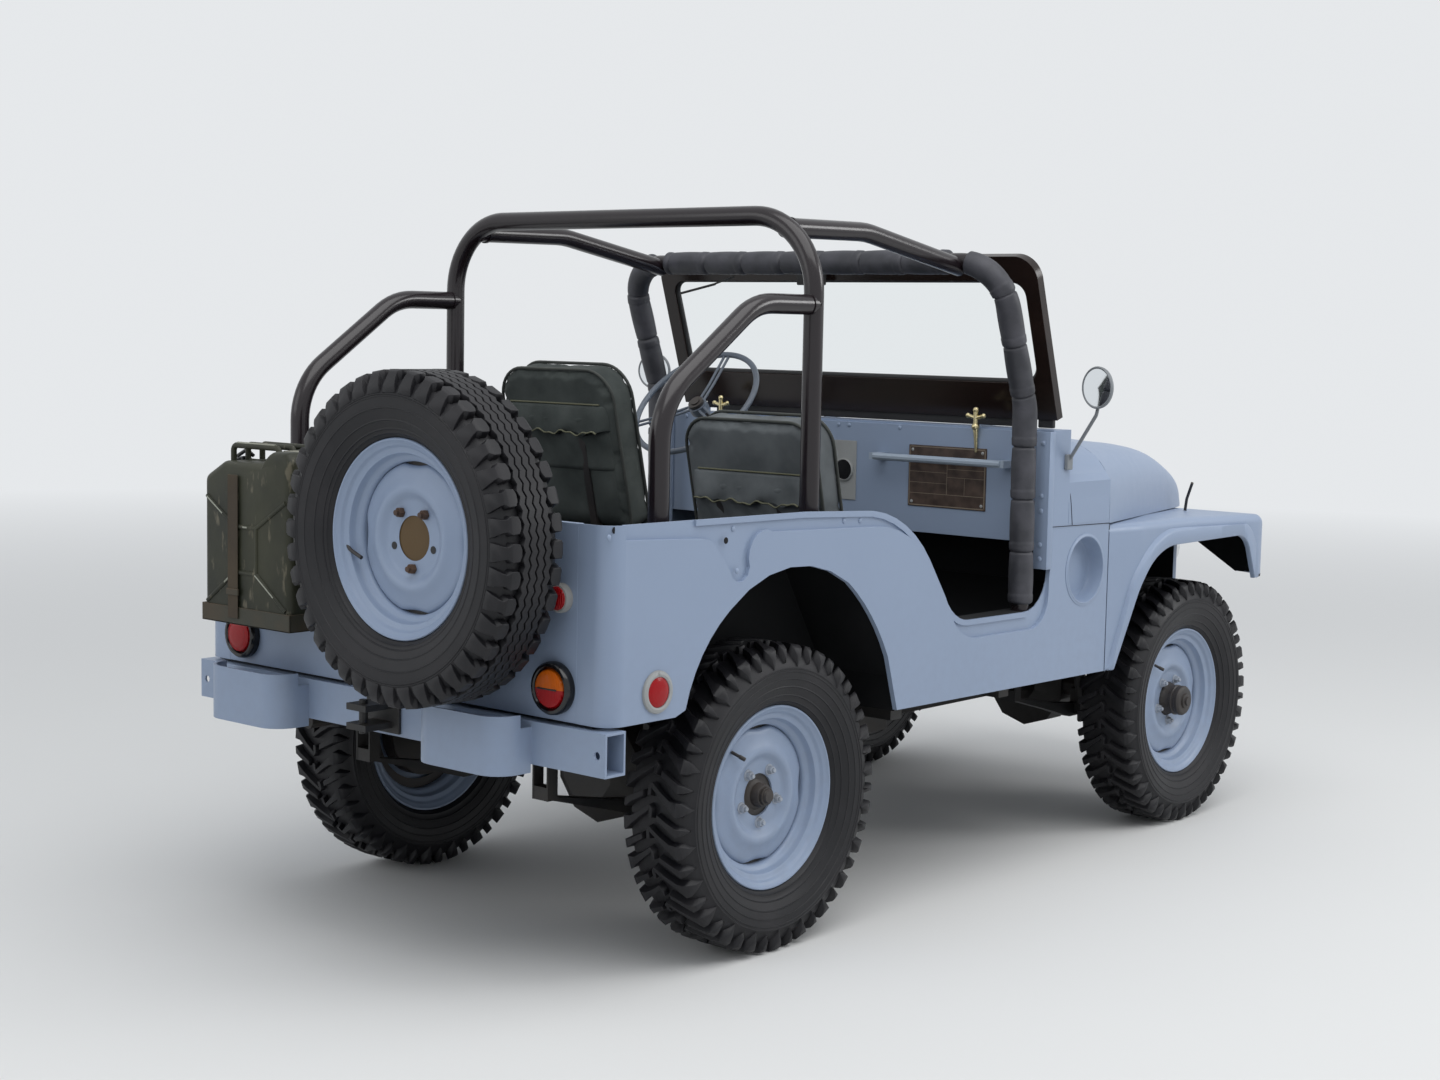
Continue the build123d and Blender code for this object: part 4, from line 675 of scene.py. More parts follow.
def sheeted(name, rings, thick, closed_front=False, finishes=()):
    """A pressed skin through rings of points, its wall inside; finishes are its outer and inner paint."""
    n = len(rings[0])
    faces = [(k * n + i, k * n + i + 1, (k + 1) * n + i + 1, (k + 1) * n + i)
             for k in range(len(rings) - 1) for i in range(n - 1)]
    if closed_front:
        faces.append(tuple(range((len(rings) - 1) * n, len(rings) * n)))
    holder = held(name, plain_mesh(name, [p for ring in rings for p in ring], faces))
    wall = holder.modifiers.new("wall", "SOLIDIFY")
    wall.thickness = thick / 1000
    wall.offset = -1.0
    for finish in finishes:
        holder.data.materials.append(finish)
    wall.material_offset = len(finishes) // 2
    return settled(holder)


# x, half width, side top z, shoulder y, shoulder z, top z, lower edge z
hood_rows = ((1490, 736, 1120, 520, 1222, 1248, 990), (1800, 655, 1110, 470, 1210, 1236, 988),
             (2100, 560, 1095, 430, 1180, 1200, 982), (2300, 495, 1070, 380, 1125, 1150, 976),
             (2420, 452, 1045, 335, 1092, 1108, 973), (2455, 436, 1000, 330, 1050, 1068, 972),
             (2468, 430, 992, 330, 1004, 1010, 972))
stations = [tuple(p + (q - p) * k / 6 for p, q in zip(a, b)) for a, b in zip(hood_rows, hood_rows[1:])
            for k in range(6)] + [hood_rows[-1]]
stations = relaxed(stations, 8, 1)
hood_rings = [[spot(row[0], y, z) for y, z in hump(*row[1:])] for row in stations]
hood_parts = [coated(sheeted("hood", hood_rings, 4.0, True), grey)]
cowl_rings = [[spot(x, y * 1.001, z + 0.9) for y, z in hump(738, 1120, 520, 1222, 1248, 1000)]
              for x in (1257, 1262, 1330, 1400, 1478, 1483)]
keep_piece("cowl_skin", sheeted("cowl_skin", cowl_rings, 3.0), grey, "chassis")


def slab(x, y, z):
    """A plain box from three (low, high) pairs in car millimetres."""
    corners = [spot(i, j, k) for i in x for j in y for k in z]
    faces = [(0, 1, 3, 2), (4, 6, 7, 5), (0, 4, 5, 1), (2, 3, 7, 6), (0, 2, 6, 4), (1, 5, 7, 3)]
    return plain_mesh("slab", corners, faces)


# the fender: outer half width, how far its flange stands out, and the corner's radii; then
# its ends along the car and its heights, and where it leaves the body and the grille
fender_out, flange, corner_r, shoulder_r = 761.0, 12.0, 120.0, 26.0
fender_x0, fender_tip, fender_top, skirt_z, arch_foot = 1489.0, 2512.0, 985.0, 764.0, 549.0
fender_root, root_y = 738.5, 430.0
apron_y, apron_end = 351, 2352


def over(a, m, b):
    """An arc that runs forwards over the wheel."""
    return arc_through(b, m, a, 12)[::-1]


arch_line = [(1516, arch_foot), *over((1610, 754), (1690, 856), (1828, 906)),
             *over((2236, 910), (2292, 893), (2325, 845)), (2362, skirt_z - 1)]
flange_line = [(1497, arch_foot), *over((1590, 790), (1690, 902), (1836, 951)),
               *over((2236, 953), (2316, 933), (2362, 880)), (2392, skirt_z)]


def height_on(line, x, before, after):
    """The height of a line at x, with the heights that hold before and after it."""
    if x <= line[0][0] or x >= line[-1][0]:
        return before if x <= line[0][0] else after
    for (xa, za), (xb, zb) in zip(line, line[1:]):
        if xa <= x <= xb:
            return za + (zb - za) * (x - xa) / max(xb - xa, 1e-6)
    return after


def fender_section(x, side):
    """One section of the fender, from under the hood over the shoulder to the turned-in edge."""
    out = fender_root + (fender_out - fender_root) * min(1.0, (x - fender_x0) / (1640 - fender_x0))
    round_in = max(0.0, x - (fender_tip - corner_r))
    out -= corner_r - math.sqrt(max(0.0, corner_r ** 2 - round_in ** 2))
    top = fender_top - 16 * max(0.0, x - 1900) / 512
    nose = min(1.0, max(0.0, (x - 2408) / 104))
    top -= 82 * (1 - math.sqrt(1 - nose ** 2))
    low = height_on(arch_line, x, arch_foot, skirt_z)
    band = max(low, height_on(flange_line, x, arch_foot, skirt_z))
    r = shoulder_r
    points = [(root_y + (out - r - root_y) * k / 5, top) for k in range(5)]
    angles = [math.pi / 16 * k for k in range(9)]
    points += [(out - r + r * math.sin(a), top - r + r * math.cos(a)) for a in angles]
    upper = min(band + 9, top - r - 2)
    points += [(out, top - r + (upper - top + r) * k / 4) for k in range(1, 5)]
    stand = flange * min(1.0, (band - low) / 20)
    points += [(out + stand * 0.3, min(upper, band + 5)), (out + stand * 0.8, min(upper, band + 1)),
               (out + stand, min(upper, band - 5)) if stand else (out, band)]
    points += [(out + stand - step, low + lift) for step, lift in ((0, 4), (2, 1), (6, 0), (16, 0))]
    return [spot(x, side * y, z) for y, z in points]


fender_stations = {fender_x0 + 12 * k for k in range(86)} | {1516.5, 1520, 1526, fender_tip - 3, fender_tip}
fender_stations |= {2354 + 4 * k for k in range(12)}
fender_stations |= {fender_tip - 12 * (1 - math.cos(k / 5)) for k in range(6)}
for side, name in ((1, "fender_left"), (-1, "fender_right")):
    rings = [fender_section(x, side) for x in sorted(fender_stations) if x <= fender_tip]
    # the fender's inner side is near-black: painted shade under the fender
    skin = sheeted(name, rings, 3.5, True, (grey, shade_and_seam_black))
    # the upright sheet beside the engine, the ledge under the hood's edge and the rear wall, all near-black as
    # painted shade
    apron = [slab((fender_x0, apron_end), sorted((side * apron_y, side * (apron_y + 3))), (560, 968)),
             slab((fender_x0, apron_end), sorted((side * apron_y, side * 432)), (963, 966)),
             slab((fender_x0, fender_x0 + 4), sorted((side * apron_y, side * 736)), (551, 983))]
    fender = joined(name, [skin, *(coated(wall, shade_and_seam_black) for wall in apron)])
    keep_piece(name + "_shown", fender, None, "chassis", [name], 40)


hinge_x = 1481
for y in (-300, 300):
    hood_parts.append(softened(slab((hinge_x, hinge_x + 45), (y - 16, y + 16), (1247, 1256)), 1.5))
    barrel = turned("barrel", [(0.01, -20), (10, -20), (10, 20), (0.01, 20)], 20)
    barrel.transform(Matrix.Translation(spot(hinge_x, y, 1260)))
    hood_parts.append(barrel)
keep_piece("hood_shown", joined("hood", hood_parts), grey, "hood", ["hood"])
# the front bumper: a channel open to the back, on two brackets
bumper_x, bumper_y, bumper_z, bumper_t = (2690, 2742), (-475, 475), (490, 620), 6
bumper_bars = [softened(slab((2741, 2741 + bumper_t), bumper_y, bumper_z), 1.5)]
for low in (bumper_z[0], bumper_z[1] - bumper_t):
    bumper_bars.append(softened(slab(bumper_x, bumper_y, (low, low + bumper_t)), 1.5))
for y in (-325, 325):
    bumper_bars.append(slab(bumper_x, (y - 30, y + 30), (495, 615)))
keep_piece("front_bumper_shown", joined("front_bumper", bumper_bars), grey, "chassis",
           ["front_bumper"])


def stud_tree():
    """A node tree that sets a flattened round head on every point of its mesh."""
    tree, given = tree_for("set_studs", Geometry="Geometry", Radius="Float", Flat="Vector", Finish="Material")
    head = tree.nodes.new("GeometryNodeMeshUVSphere")
    head.inputs["Segments"].default_value = 16
    head.inputs["Rings"].default_value = 8
    tree.links.new(given.outputs["Radius"], head.inputs["Radius"])
    return set_on(tree, given, given.outputs["Geometry"], head.outputs[0], "Scale", given.outputs["Flat"])


set_studs = stud_tree()


def studded(name, places, r, flat, finish):
    """Bolt or rivet heads at places in car millimetres; flat is their share of depth along each axis."""
    points = bpy.data.meshes.new(name)
    points.from_pydata([tuple(spot(*p)) for p in places], [], [])
    return coated(grown(name, points, set_studs, Radius=r / 1000, Flat=flat, Finish=finish), finish)


def bent_way(points, bend, step=0.1):
    """A path through points (mm) with its corners rounded to a bend radius."""
    way = [Vector(points[0])]
    for before, here, after in zip(points, points[1:], points[2:]):
        corner = Vector(here)
        u = (Vector(before) - corner).normalized()
        v = (Vector(after) - corner).normalized()
        half = u.angle(v) / 2
        centre = corner + (u + v).normalized() * (bend / math.sin(half))
        first = corner + u * (bend / math.tan(half)) - centre
        last = corner + v * (bend / math.tan(half)) - centre
        swing = math.pi - 2 * half
        runs = max(2, round(swing / step))
        for k in range(runs + 1):
            f = k / runs
            spoke = first * math.sin((1 - f) * swing) + last * math.sin(f * swing)
            way.append(centre + spoke / math.sin(swing))
    return way + [Vector(points[-1])]


def finely(way, step):
    """The same path with a point at least every step millimetres."""
    points = [way[0]]
    for p, q in zip(way, way[1:]):
        runs = max(1, math.ceil((q - p).length / step))
        points += [p.lerp(q, k / runs) for k in range(1, runs + 1)]
    return points


def pipe(name, way, radius, sides=20, closed=False, flat=1.0):
    """A round skin along a path in car millimetres; radius may follow the distance."""
    count = len(way)
    tangents = []
    for k, here in enumerate(way):
        before = way[k - 1] if k or closed else here
        after = way[(k + 1) % count] if k < count - 1 or closed else here
        tangents.append((after - before).normalized())
    side = tangents[0].orthogonal().normalized()
    if abs(side.z) > 0.9:
        side = tangents[0].cross(side).normalized()
    points = []
    along = 0.0
    for k, (here, ahead) in enumerate(zip(way, tangents)):
        if k:
            along += (here - way[k - 1]).length
            side = (side - ahead * side.dot(ahead)).normalized()
        up = ahead.cross(side)
        r = radius(along) if callable(radius) else radius
        for i in range(sides):
            a = 2 * math.pi * i / sides
            points.append(spot(*(here + side * (r * math.cos(a)) + up * (r * flat * math.sin(a)))))
    faces = []
    for k in range(count if closed else count - 1):
        n = (k + 1) % count
        faces += [(k * sides + i, k * sides + (i + 1) % sides, n * sides + (i + 1) % sides, n * sides + i)
                  for i in range(sides)]
    if not closed:
        faces += [tuple(range(sides)), tuple(range(len(points) - sides, len(points)))]
    return plain_mesh(name, points, faces)


# the panels' bolts, the drilled holes of the top's fixings and the door posts' angle strips
rail_foot_z = 1057.0
side_bolts = ((-646, 1077), (-598, 1085), (-222, 1072), (208, 1067), (275, 1064), (-216, 972))
fixings = []
for s in (1, -1):
    places = [(x, s * (728.5 if z > rail_foot_z else 738.5), z) for x, z in side_bolts]
    fixings.append(studded("side_bolts", places, 7.0, (1, 0.45, 1), grey))
    # the holes are flat near-black discs, painted shade standing for their depth
    places = [(-258, s * 738.2, 1047), (-628, s * 728.4, 1092)]
    fixings.append(studded("holes", places, 8.0, (1, 0.12, 1), shade_and_seam_black))
    places = [(1143.5, s * 716, z) for z in (1235, 1085, 1042, 946, 905)]
    fixings.append(studded("post_bolts", places, 7.5, (0.5, 1, 1), grey))
    places = [(1256.8, s * y, 1262) for y in (120, 340, 700)]
    places += [(1149.5, s * y, 1256) for y in (20, 210, 640)]
    fixings.append(studded("top_bolts", places, 6.5, (0.5, 1, 1), grey))
    for x_end, reach in ((1150, (s * 694, s * body_half)), (1172, (s * 734, s * 740))):
        strip = softened(slab((1144, x_end), sorted(reach), (876, 1268)), 2.0, 2)
        fixings.append(coated(strip, grey))
    # the cowl's two seams and the catch that holds the hood down
    upright = [Vector((1277 - (z - 997) / 246 * 38, s * (abs(y) + 0.4), z + 0.4)) for y, z in
               hump(738.8, 1120.5, 520, 1223, 1249, 997)[:25]]
    across = [Vector((1160, s * 738.9, 997)), Vector((1486, s * 739, 991))]
    catch = bent_way([(2290, s * 548, 972), (2284, s * 556, 1012), (2258, s * 588, 1068)], 18)
    for way, r, finish in ((upright, 1.0, shade_and_seam_black), (across, 0.9, shade_and_seam_black),
                           (catch, 5.0, dark_iron)):
        fixings.append(coated(pipe("line", way, r, 8), finish))
keep_piece("body_fixings", joined("body_fixings", fixings), None, "chassis")
dish = [(101, -1), (101, 2), (99, 3.5), (96, 3), (95, 0), (94, -30), (88, -42), (70, -46), (0.01, -46)]
recess = turned("recess", [(107, -2), (107, 1.5), *dish[1:]], 72)
recess.transform(Matrix.Translation(spot(1358, -body_half, 862)) @ Matrix.Rotation(math.pi, 4, "Z"))
# the recess's two holes are flat near-black discs, painted shade standing for their depth
places = [(1330, -693.5, 880), (1330, -693.5, 840)]
recess_holes = studded("recess_holes", places, 6, (1, 0.15, 1), shade_and_seam_black)
keep_piece("side_recess", joined("side_recess", [coated(recess, grey), recess_holes]), None, "chassis")

# Roll cage: 51 mm steel tube bent round a former, welded at its joints, in thick gloss
# paint of a near-black brown. The main hoop, two stays and two side rails are one
# weldment with the front hoop inside the sleeves.
tube_r = 25.4
cage_paint = Paint("cage_gloss", (0.012, 0.008, 0.010), 0.2, Specular_IOR_Level=0.5)
orange_peel = cage_paint.noise(60.0, 2.0)
cage_paint.put("Roughness", 0.14 + orange_peel * 0.14)
cage_paint.bump(orange_peel, 0.0001, 0.3)
hoop_x, hoop_y, hoop_top, hoop_foot = 156.0, 657.0, 1828.0, 985.0
stay_z, stay_x, stay_knee = 1605.0, -406.0, 1370.0
join_y = 558.0
front_y, front_foot_x, front_top_x, front_top_z = 695.0, 1084.0, 930.0, 1738.0
front_way = bent_way([(front_foot_x, -front_y, 762), (front_foot_x - 8, -front_y, 1340),
                      (front_top_x, -front_y, front_top_z), (front_top_x, front_y, front_top_z),
                      (front_foot_x - 8, front_y, 1340), (front_foot_x, front_y, 762)], 130)
members = [pipe("hoop", bent_way([(hoop_x, -hoop_y, hoop_foot), (hoop_x, -hoop_y, hoop_top),
                                  (hoop_x, hoop_y, hoop_top), (hoop_x, hoop_y, hoop_foot)], 195), tube_r),
           pipe("front", front_way, tube_r)]
for s in (1, -1):
    stay = [(hoop_x, s * hoop_y, stay_z), (-70, s * hoop_y, stay_z), (stay_x, s * hoop_y, stay_knee),
            (stay_x, s * hoop_y, hoop_foot)]
    members.append(pipe("stay", bent_way(stay, 190), tube_r))
    rail = [(hoop_x, s * join_y, hoop_top - 31), (492, s * join_y, hoop_top - 27),
            (front_top_x, s * join_y, front_top_z - 14)]
    members.append(pipe("rail", bent_way(rail, 300), tube_r))
    for x in (hoop_x, stay_x):
        foot = slab((x - 50, x + 50), (s * hoop_y - 50, s * hoop_y + 50), (hoop_foot, hoop_foot + 5))
        members.append(softened(foot, 1.5))
    # weld beads where the stay and the rail meet the hoop
    for way in ([(hoop_x - 18, s * hoop_y, stay_z), (hoop_x - 25, s * hoop_y, stay_z)],
                [(hoop_x + 18, s * join_y, hoop_top - 31), (hoop_x + 25, s * join_y, hoop_top - 31)]):
        members.append(pipe("bead", [Vector(p) for p in way], tube_r + 2.5))
keep_piece("roll_cage_shown", joined("roll_cage", members), cage_paint.material, "chassis",
           ["roll_cage"])

# Sleeves: grey-black foam wrapped in tape round the front hoop, with a lapped seam about
# every 150 mm, cut away where the side rails join.
pad_r = 35.0
sleeve_mat = Paint("foam_tape", (0.04, 0.04, 0.05), 0.55)
rubbed = sleeve_mat.noise(14.0, 5.0)
tape_tone = sleeve_mat.mix(rubbed.within(0.4, 0.7), (0.026, 0.027, 0.034), (0.058, 0.058, 0.07))
sleeve_mat.put("Base Color", tape_tone)
sleeve_mat.put("Roughness", 0.42 + rubbed * 0.25)
sleeve_mat.bump(sleeve_mat.noise(75.0, 5.0), 0.0012, 0.5)
seam_gap = 148.0


def sleeve_radius(along):
    """Bulging wraps with a groove and a lapped edge at every seam."""
    d = along % seam_gap
    near = min(d, seam_gap - d)
    lap = 1.6 if d < 26.0 else 0.0
    return pad_r - 2.0 + 2.2 * math.sin(math.pi * d / seam_gap) + lap - 4.6 * math.exp(-((near / 2.8) ** 2))


sleeves = []
sleeve_way = finely(front_way, 4.0)
left_out = [k for k, p in enumerate(sleeve_way) if p.z > front_top_z - 70 and abs(abs(p.y) - join_y) < 34.0]
cuts = [0, *[k for k in left_out if k - 1 not in left_out or k + 1 not in left_out], len(sleeve_way) - 1]
for first, last in zip(cuts[::2], cuts[1::2]):
    run = [p for p in sleeve_way[first:last + 1] if p.z > 780.0]
    sleeves.append(pipe("sleeve", run, sleeve_radius, 28))
keep_piece("cage_pads_shown", joined("cage_pads", sleeves), sleeve_mat.material, "chassis",
           ["cage_pads"], 50)

# Seats: two bucket seats in grey-green canvas, sewn with piping, on black tube frames.
# Each cushion and back is blown up as cloth; the backs carry a map pocket behind.
def canvas_of(name, dark, pale):
    """Woven cotton duck, rubbed paler in clouds, with its weave in the bump."""
    cloth = Paint(name, dark, 0.86, Specular_IOR_Level=0.3)
    wear_and_highlight = cloth.noise(8.0, 5.0)
    weave = cloth.noise(900.0, 1.0, (1, 0.25, 1))
    cloth.put("Base Color", cloth.mix(wear_and_highlight.within(0.35, 0.72), dark, pale))
    cloth.put("Roughness", 0.78 + weave * 0.15)
    cloth.bump(weave + wear_and_highlight * 2.0, 0.0008, 0.35)
    return cloth.material


# the same canvas on both backs; the passenger's copy is paler, painted light for the brighter light falling on its
# back
seat_cloth = {"driver": canvas_of("canvas", (0.036, 0.043, 0.041), (0.075, 0.085, 0.080)),
              "passenger": canvas_of("canvas_passenger_lit", (0.084, 0.093, 0.098), (0.150, 0.164, 0.170))}
piping_mat = dusty("piping", (0.03, 0.034, 0.031), (0.1, 0.105, 0.095), 0.7, 0.4)
hem_mat = dusty("hem_olive", (0.105, 0.105, 0.065), (0.16, 0.16, 0.11), 0.8, 0.4)
top_canvas = Paint("canvas_top", (0.2, 0.22, 0.2), 0.85)
faded = top_canvas.noise(9.0, 5.0)
top_canvas.put("Base Color", top_canvas.mix(faded.within(0.3, 0.7), (0.17, 0.185, 0.165), (0.28, 0.3, 0.275)))
top_canvas.bump(top_canvas.noise(900.0, 1.0, (1, 0.25, 1)), 0.0008, 0.35)
seat_y, seat_w = 360.0, 430.0
bag_t, back_h, back_middle = 81.0, 455.0, 229.0
cushion_x, back_foot_x = 630.0, 352.0
seat_rows = (("driver", seat_y, 945.0), ("passenger", -seat_y, 830.0))


def stuffed(name, outline, thick, place, finish):
    count = len(outline)
    points = [Vector((u, v, h)) / 1000 for h in (0, thick) for u, v in outline]
    faces = [tuple(range(count)), tuple(range(2 * count - 1, count - 1, -1))]
    faces += [(i, (i + 1) % count, count + (i + 1) % count, count + i) for i in range(count)]
    bag = held(name, plain_mesh(name, points, faces))
    grid = bag.modifiers.new("grid", "REMESH")
    grid.mode = "VOXEL"
    grid.voxel_size = 0.006
    mesh = settled(bag)
    rest = [v.co.copy() for v in mesh.vertices]
    bag = held(name, mesh)
    cloth = bag.modifiers.new("cloth", "CLOTH")
    cloth.settings.quality = 6
    cloth.settings.use_pressure = True
    cloth.settings.uniform_pressure_force = 4.0
    cloth.settings.tension_stiffness = 18.0
    cloth.settings.compression_stiffness = 12.0
    cloth.settings.bending_stiffness = 1.2
    cloth.settings.effector_weights.gravity = 0.0
    cloth.point_cache.frame_start = 1
    cloth.point_cache.frame_end = 20
    for k in range(1, 21):
        bpy.context.scene.frame_set(k)
    mesh = bpy.data.meshes.new_from_object(bag.evaluated_get(bpy.context.evaluated_depsgraph_get()))
    bpy.data.objects.remove(bag)
    # the stuffing stretches the cover by 11 mm at most, and its piped edge hardly at all
    for vertex, start in zip(mesh.vertices, rest):
        moved = (vertex.co - start) * Vector((0.15, 0.15, 1.0))
        vertex.co = start + moved * min(1.0, 0.011 / max(moved.length, 1e-6))
    bpy.context.scene.frame_set(1)
    mesh.transform(place)
    mesh.shade_smooth()
    return coated(mesh, finish)


def round_outline(width, height, top_r, low_r, runs=9):
    """A rectangle about (0, height / 2) with rounded corners, as (u, v)."""
    points = []
    corners = ((1, 0, low_r, -90), (1, height, top_r, 0), (-1, height, top_r, 90), (-1, 0, low_r, 180))
    for su, v, r, first in corners:
        cu = su * (width / 2 - r)
        cv = v + r if v == 0 else v - r
        for k in range(runs + 1):
            a = math.radians(first + 90 * k / runs)
            points.append((cu + r * math.cos(a), cv + r * math.sin(a)))
    return points


def laid(outline, height, place):
    """The outline as a path in car millimetres at a height above the bag's lower side."""
    points = [place @ (Vector((u, v, height)) / 1000) for u, v in outline]
    return [Vector(((p.x - rear_hub[0]) * 1000, p.y * 1000, p.z * 1000)) for p in points]


def piped(outline, middle, thick, place):
    """Piping round both edges of a bag, just outside its outline; middle is the outline's middle."""
    way = [(u * 1.004, (v - middle) * 1.004 + middle) for u, v in outline]
    return [coated(pipe("piping", laid(way, height, place), 4.6, 10, closed=True), piping_mat)
            for height in (3.0, thick - 3.0)]


def gathers(f, g):
    """Folds that fall from the pocket's drawn edge and die out below."""
    return (3.4 * math.sin(f * 41 + 2.6 * math.sin(g * 6)) + 2.2 * math.sin(f * 17 + g * 4)) * g ** 1.5


def loose_flap(f, g):
    """Waves that grow towards the flap's free lower edge."""
    return (4.5 * math.sin(f * 15 + 1.5 * math.sin(g * 4)) + 2.4 * math.sin(f * 33)) * (1 - g) - 24 * g ** 2


def sewn_cover(name, place, reach, stand, folds, finish, curl=False):
    """A panel of cloth standing behind the back, tucked in at its sewn edges."""
    across, high = 64, 26
    points = []
    for j in range(high + 1):
        for i in range(across + 1):
            f, g = i / across, j / high
            u = (f - 0.5) * (seat_w - 14)
            v = reach[0] + (reach[1] - reach[0]) * g
            side = min(1.0, 12 * min(f, 1 - f)) ** 0.5
            ends = min(1.0, 9 * (1 - g)) ** 0.5 * (1.0 if curl else min(1.0, 9 * g) ** 0.5)
            if curl:
                v += (1 - g) ** 3 * (5 * math.sin(f * 22) + 3 * math.sin(f * 52))
                ends *= 0.72 if j == 0 else 1.0
            points.append(place @ (Vector((u, v, 4 - side * ends * (stand + folds(f, g)))) / 1000))
    row = across + 1
    faces = [(j * row + i, j * row + i + 1, (j + 1) * row + i + 1, (j + 1) * row + i)
             for j in range(high) for i in range(across)]
    return coated(plain_mesh(name, points, faces), finish)


for who, y, z in seat_rows:
    place = Matrix.Translation(spot(cushion_x, y, z - bag_t - 8)) @ Matrix.Rotation(math.radians(-90), 4, "Z")
    outline = [(u, v - 230) for u, v in round_outline(seat_w - 16, 444, 60, 30)]
    name = who + "_cushion"
    cushion = joined(name, [stuffed(name, outline, bag_t, place, top_canvas.material),
                            *piped(outline, 0, bag_t, place)])
    keep_piece(who + "_cushion_shown", cushion, None, "chassis", [who + "_cushion"], 60)
    # the back's own axes: u across the car, v up the seat, third through it towards the front
    tilt = Matrix.Rotation(math.radians(-13), 4, "Y")
    turn_up = Matrix(((0, 0, 1, 0), (1, 0, 0, 0), (0, 1, 0, 0), (0, 0, 0, 1)))
    place = Matrix.Translation(spot(back_foot_x, y, z + 20)) @ tilt @ turn_up
    outline = round_outline(seat_w + 14, back_h + 4, 95 if who == "driver" else 80, 28)
    place = place @ Matrix.Translation((0, 0.002, 0.007))
    name = who + "_back"
    extra = piped(outline, back_middle, bag_t, place)
    # behind the back: the lower cover over the frame's bars, the gathered map pocket and its
    # flap with a stitched hem at its wavy edge
    top_v = back_h - (88 if who == "driver" else 128)
    extra.append(sewn_cover("cover", place, (4, top_v - 14), 27, lambda f, g: 0.0, seat_cloth[who]))
    extra.append(sewn_cover("pocket", place, (top_v - 205, top_v - 20), 33, gathers, seat_cloth[who]))
    extra.append(sewn_cover("flap", place, (top_v - 82, top_v), 42, loose_flap, seat_cloth[who], curl=True))
    for v, lift, wavy in ((top_v - 2, -13.0, 0), (top_v - 78, -44.0, 1)):
        run = [(-178 + 356 * k / 40, v + wavy * (5 * math.sin(k * 0.55) + 3 * math.sin(k * 1.3)))
               for k in range(41)]
        extra.append(coated(pipe("hem", laid(run, lift, place), 2.6, 8, flat=0.8), hem_mat))
    back = joined(name, [stuffed(name, outline, bag_t, place, seat_cloth[who]), *extra])
    keep_piece(who + "_back_shown", back, None, "chassis", [who + "_back"], 60)
eased("seat_frames", dark_iron, 2.0)
eased("fuel_tank", shade_and_seam_black, 4.0)

# Windshield: a pressed frame in gloss near-black with glass in black rubber, folding
# forward on two hinges, two brass clamps and a wiper hung from its top rail.
frame_brown = Paint("frame_gloss", (0.009, 0.005, 0.0045), 0.22, Specular_IOR_Level=0.42)
brushed = frame_brown.noise(12.0, 3.0, (1, 0.2, 1))
frame_brown.put("Base Color", frame_brown.mix(brushed, (0.006, 0.004, 0.004), (0.020, 0.009, 0.006)))
frame_brown.put("Roughness", 0.16 + brushed * 0.16)
eased("windshield_frame", frame_brown.material, 6.0, 3)
rubber_and_shade_black = dusty("rubber_and_shade_black", (0.013, 0.013, 0.014), (0.05, 0.05, 0.05), 0.5, 0.3)
gloss_black = Paint("gloss_black", (0.006, 0.006, 0.007), 0.16).material
frame_lean = math.radians(18)
frame_x, frame_z, glass_up = 1240.0, 1293.0, 118.0
glass_edge = [Vector((frame_x - (glass_up + v) * math.sin(frame_lean), u,
                      frame_z + (glass_up + v) * math.cos(frame_lean)))
              for u, v in round_outline(1330, 304, 50, 50)]
trims = [pipe("glass_rubber", glass_edge, 9.0, 12, closed=True)]
# two hinges with a strip of rubber between them, then the inner mirror on its stalk
for low_end, high_end in ((-690, -640), (-560, 560), (640, 690)):
    trims.append(softened(slab((1232, 1248), (low_end, high_end), (1274, 1304)), 3.0, 2))
trims.append(softened(slab((1064, 1078), (24, 130), (1676, 1716)), 4.0, 2))
trims.append(pipe("mirror_stalk", [Vector((1072, 77, 1700)), Vector((1100, 77, 1724))], 4.0, 10))
wiper_blade = [(1112, 640, 1650), (1100, 487, 1679)]
wiper_arm = [(1106, 520, 1672), (1090, 430, 1694), (1092, 401, 1704)]
for way, r in ((wiper_blade, 4.0), (wiper_arm, 3.0)):
    trims.append(pipe("wiper", [Vector(p) for p in way], r, 10))
keep_piece("windshield_trims", joined("windshield_trims", trims), rubber_and_shade_black, "windshield")
glass = Paint("window_glass", (0.9, 0.97, 0.96), 0.04, Transmission_Weight=1.0, IOR=1.02, Alpha=0.28)
eased("windshield_glass", glass.material, 0.5)
brass = Paint("brass", (0.72, 0.62, 0.36), 0.24, 1.0)
tarnish = brass.noise(45.0, 4.0)
brass.put("Base Color", brass.mix(tarnish, (0.78, 0.69, 0.43), (0.50, 0.42, 0.22)))
brass.put("Roughness", 0.18 + tarnish * 0.22)


def tongue_r(along):
    """The clamp's tongue narrows from its boss to its tip."""
    return 11.0 - 6.0 * min(1.0, along / 70.0)


clamps = []
for s in (1, -1):
    x, y = 1140.0, s * 487.0
    clamps.append(pipe("stem", [Vector((x, y, 1256)), Vector((x, y, 1318))], 7.0, 16))
    wings = finely([Vector((x, y - 27, 1304)), Vector((x, y, 1297)), Vector((x, y + 27, 1304))], 6)
    clamps.append(pipe("wings", wings, 5.5, 14))
    tongue = finely([Vector((x + 2, y, 1268)), Vector((x + 6, y, 1198))], 6)
    clamps.append(pipe("tongue", tongue, tongue_r, 16, flat=0.7))
    for dy, z, r in ((0, 1320, 9.0), (-27, 1304, 7.5), (27, 1304, 7.5), (0, 1272, 12.0)):
        rows = ((0.01 / r, -1), (0.5, -0.86), (0.86, -0.5), (1, 0), (0.86, 0.5), (0.5, 0.86), (0.01 / r, 1))
        ball = turned("ball", [(r * out, r * along) for out, along in rows], 16)
        ball.transform(Matrix.Translation(spot(x, y + dy, z)))
        clamps.append(ball)
keep_piece("clamps_shown", joined("clamps", clamps), brass.material, "chassis",
           ["windshield_clamps"])

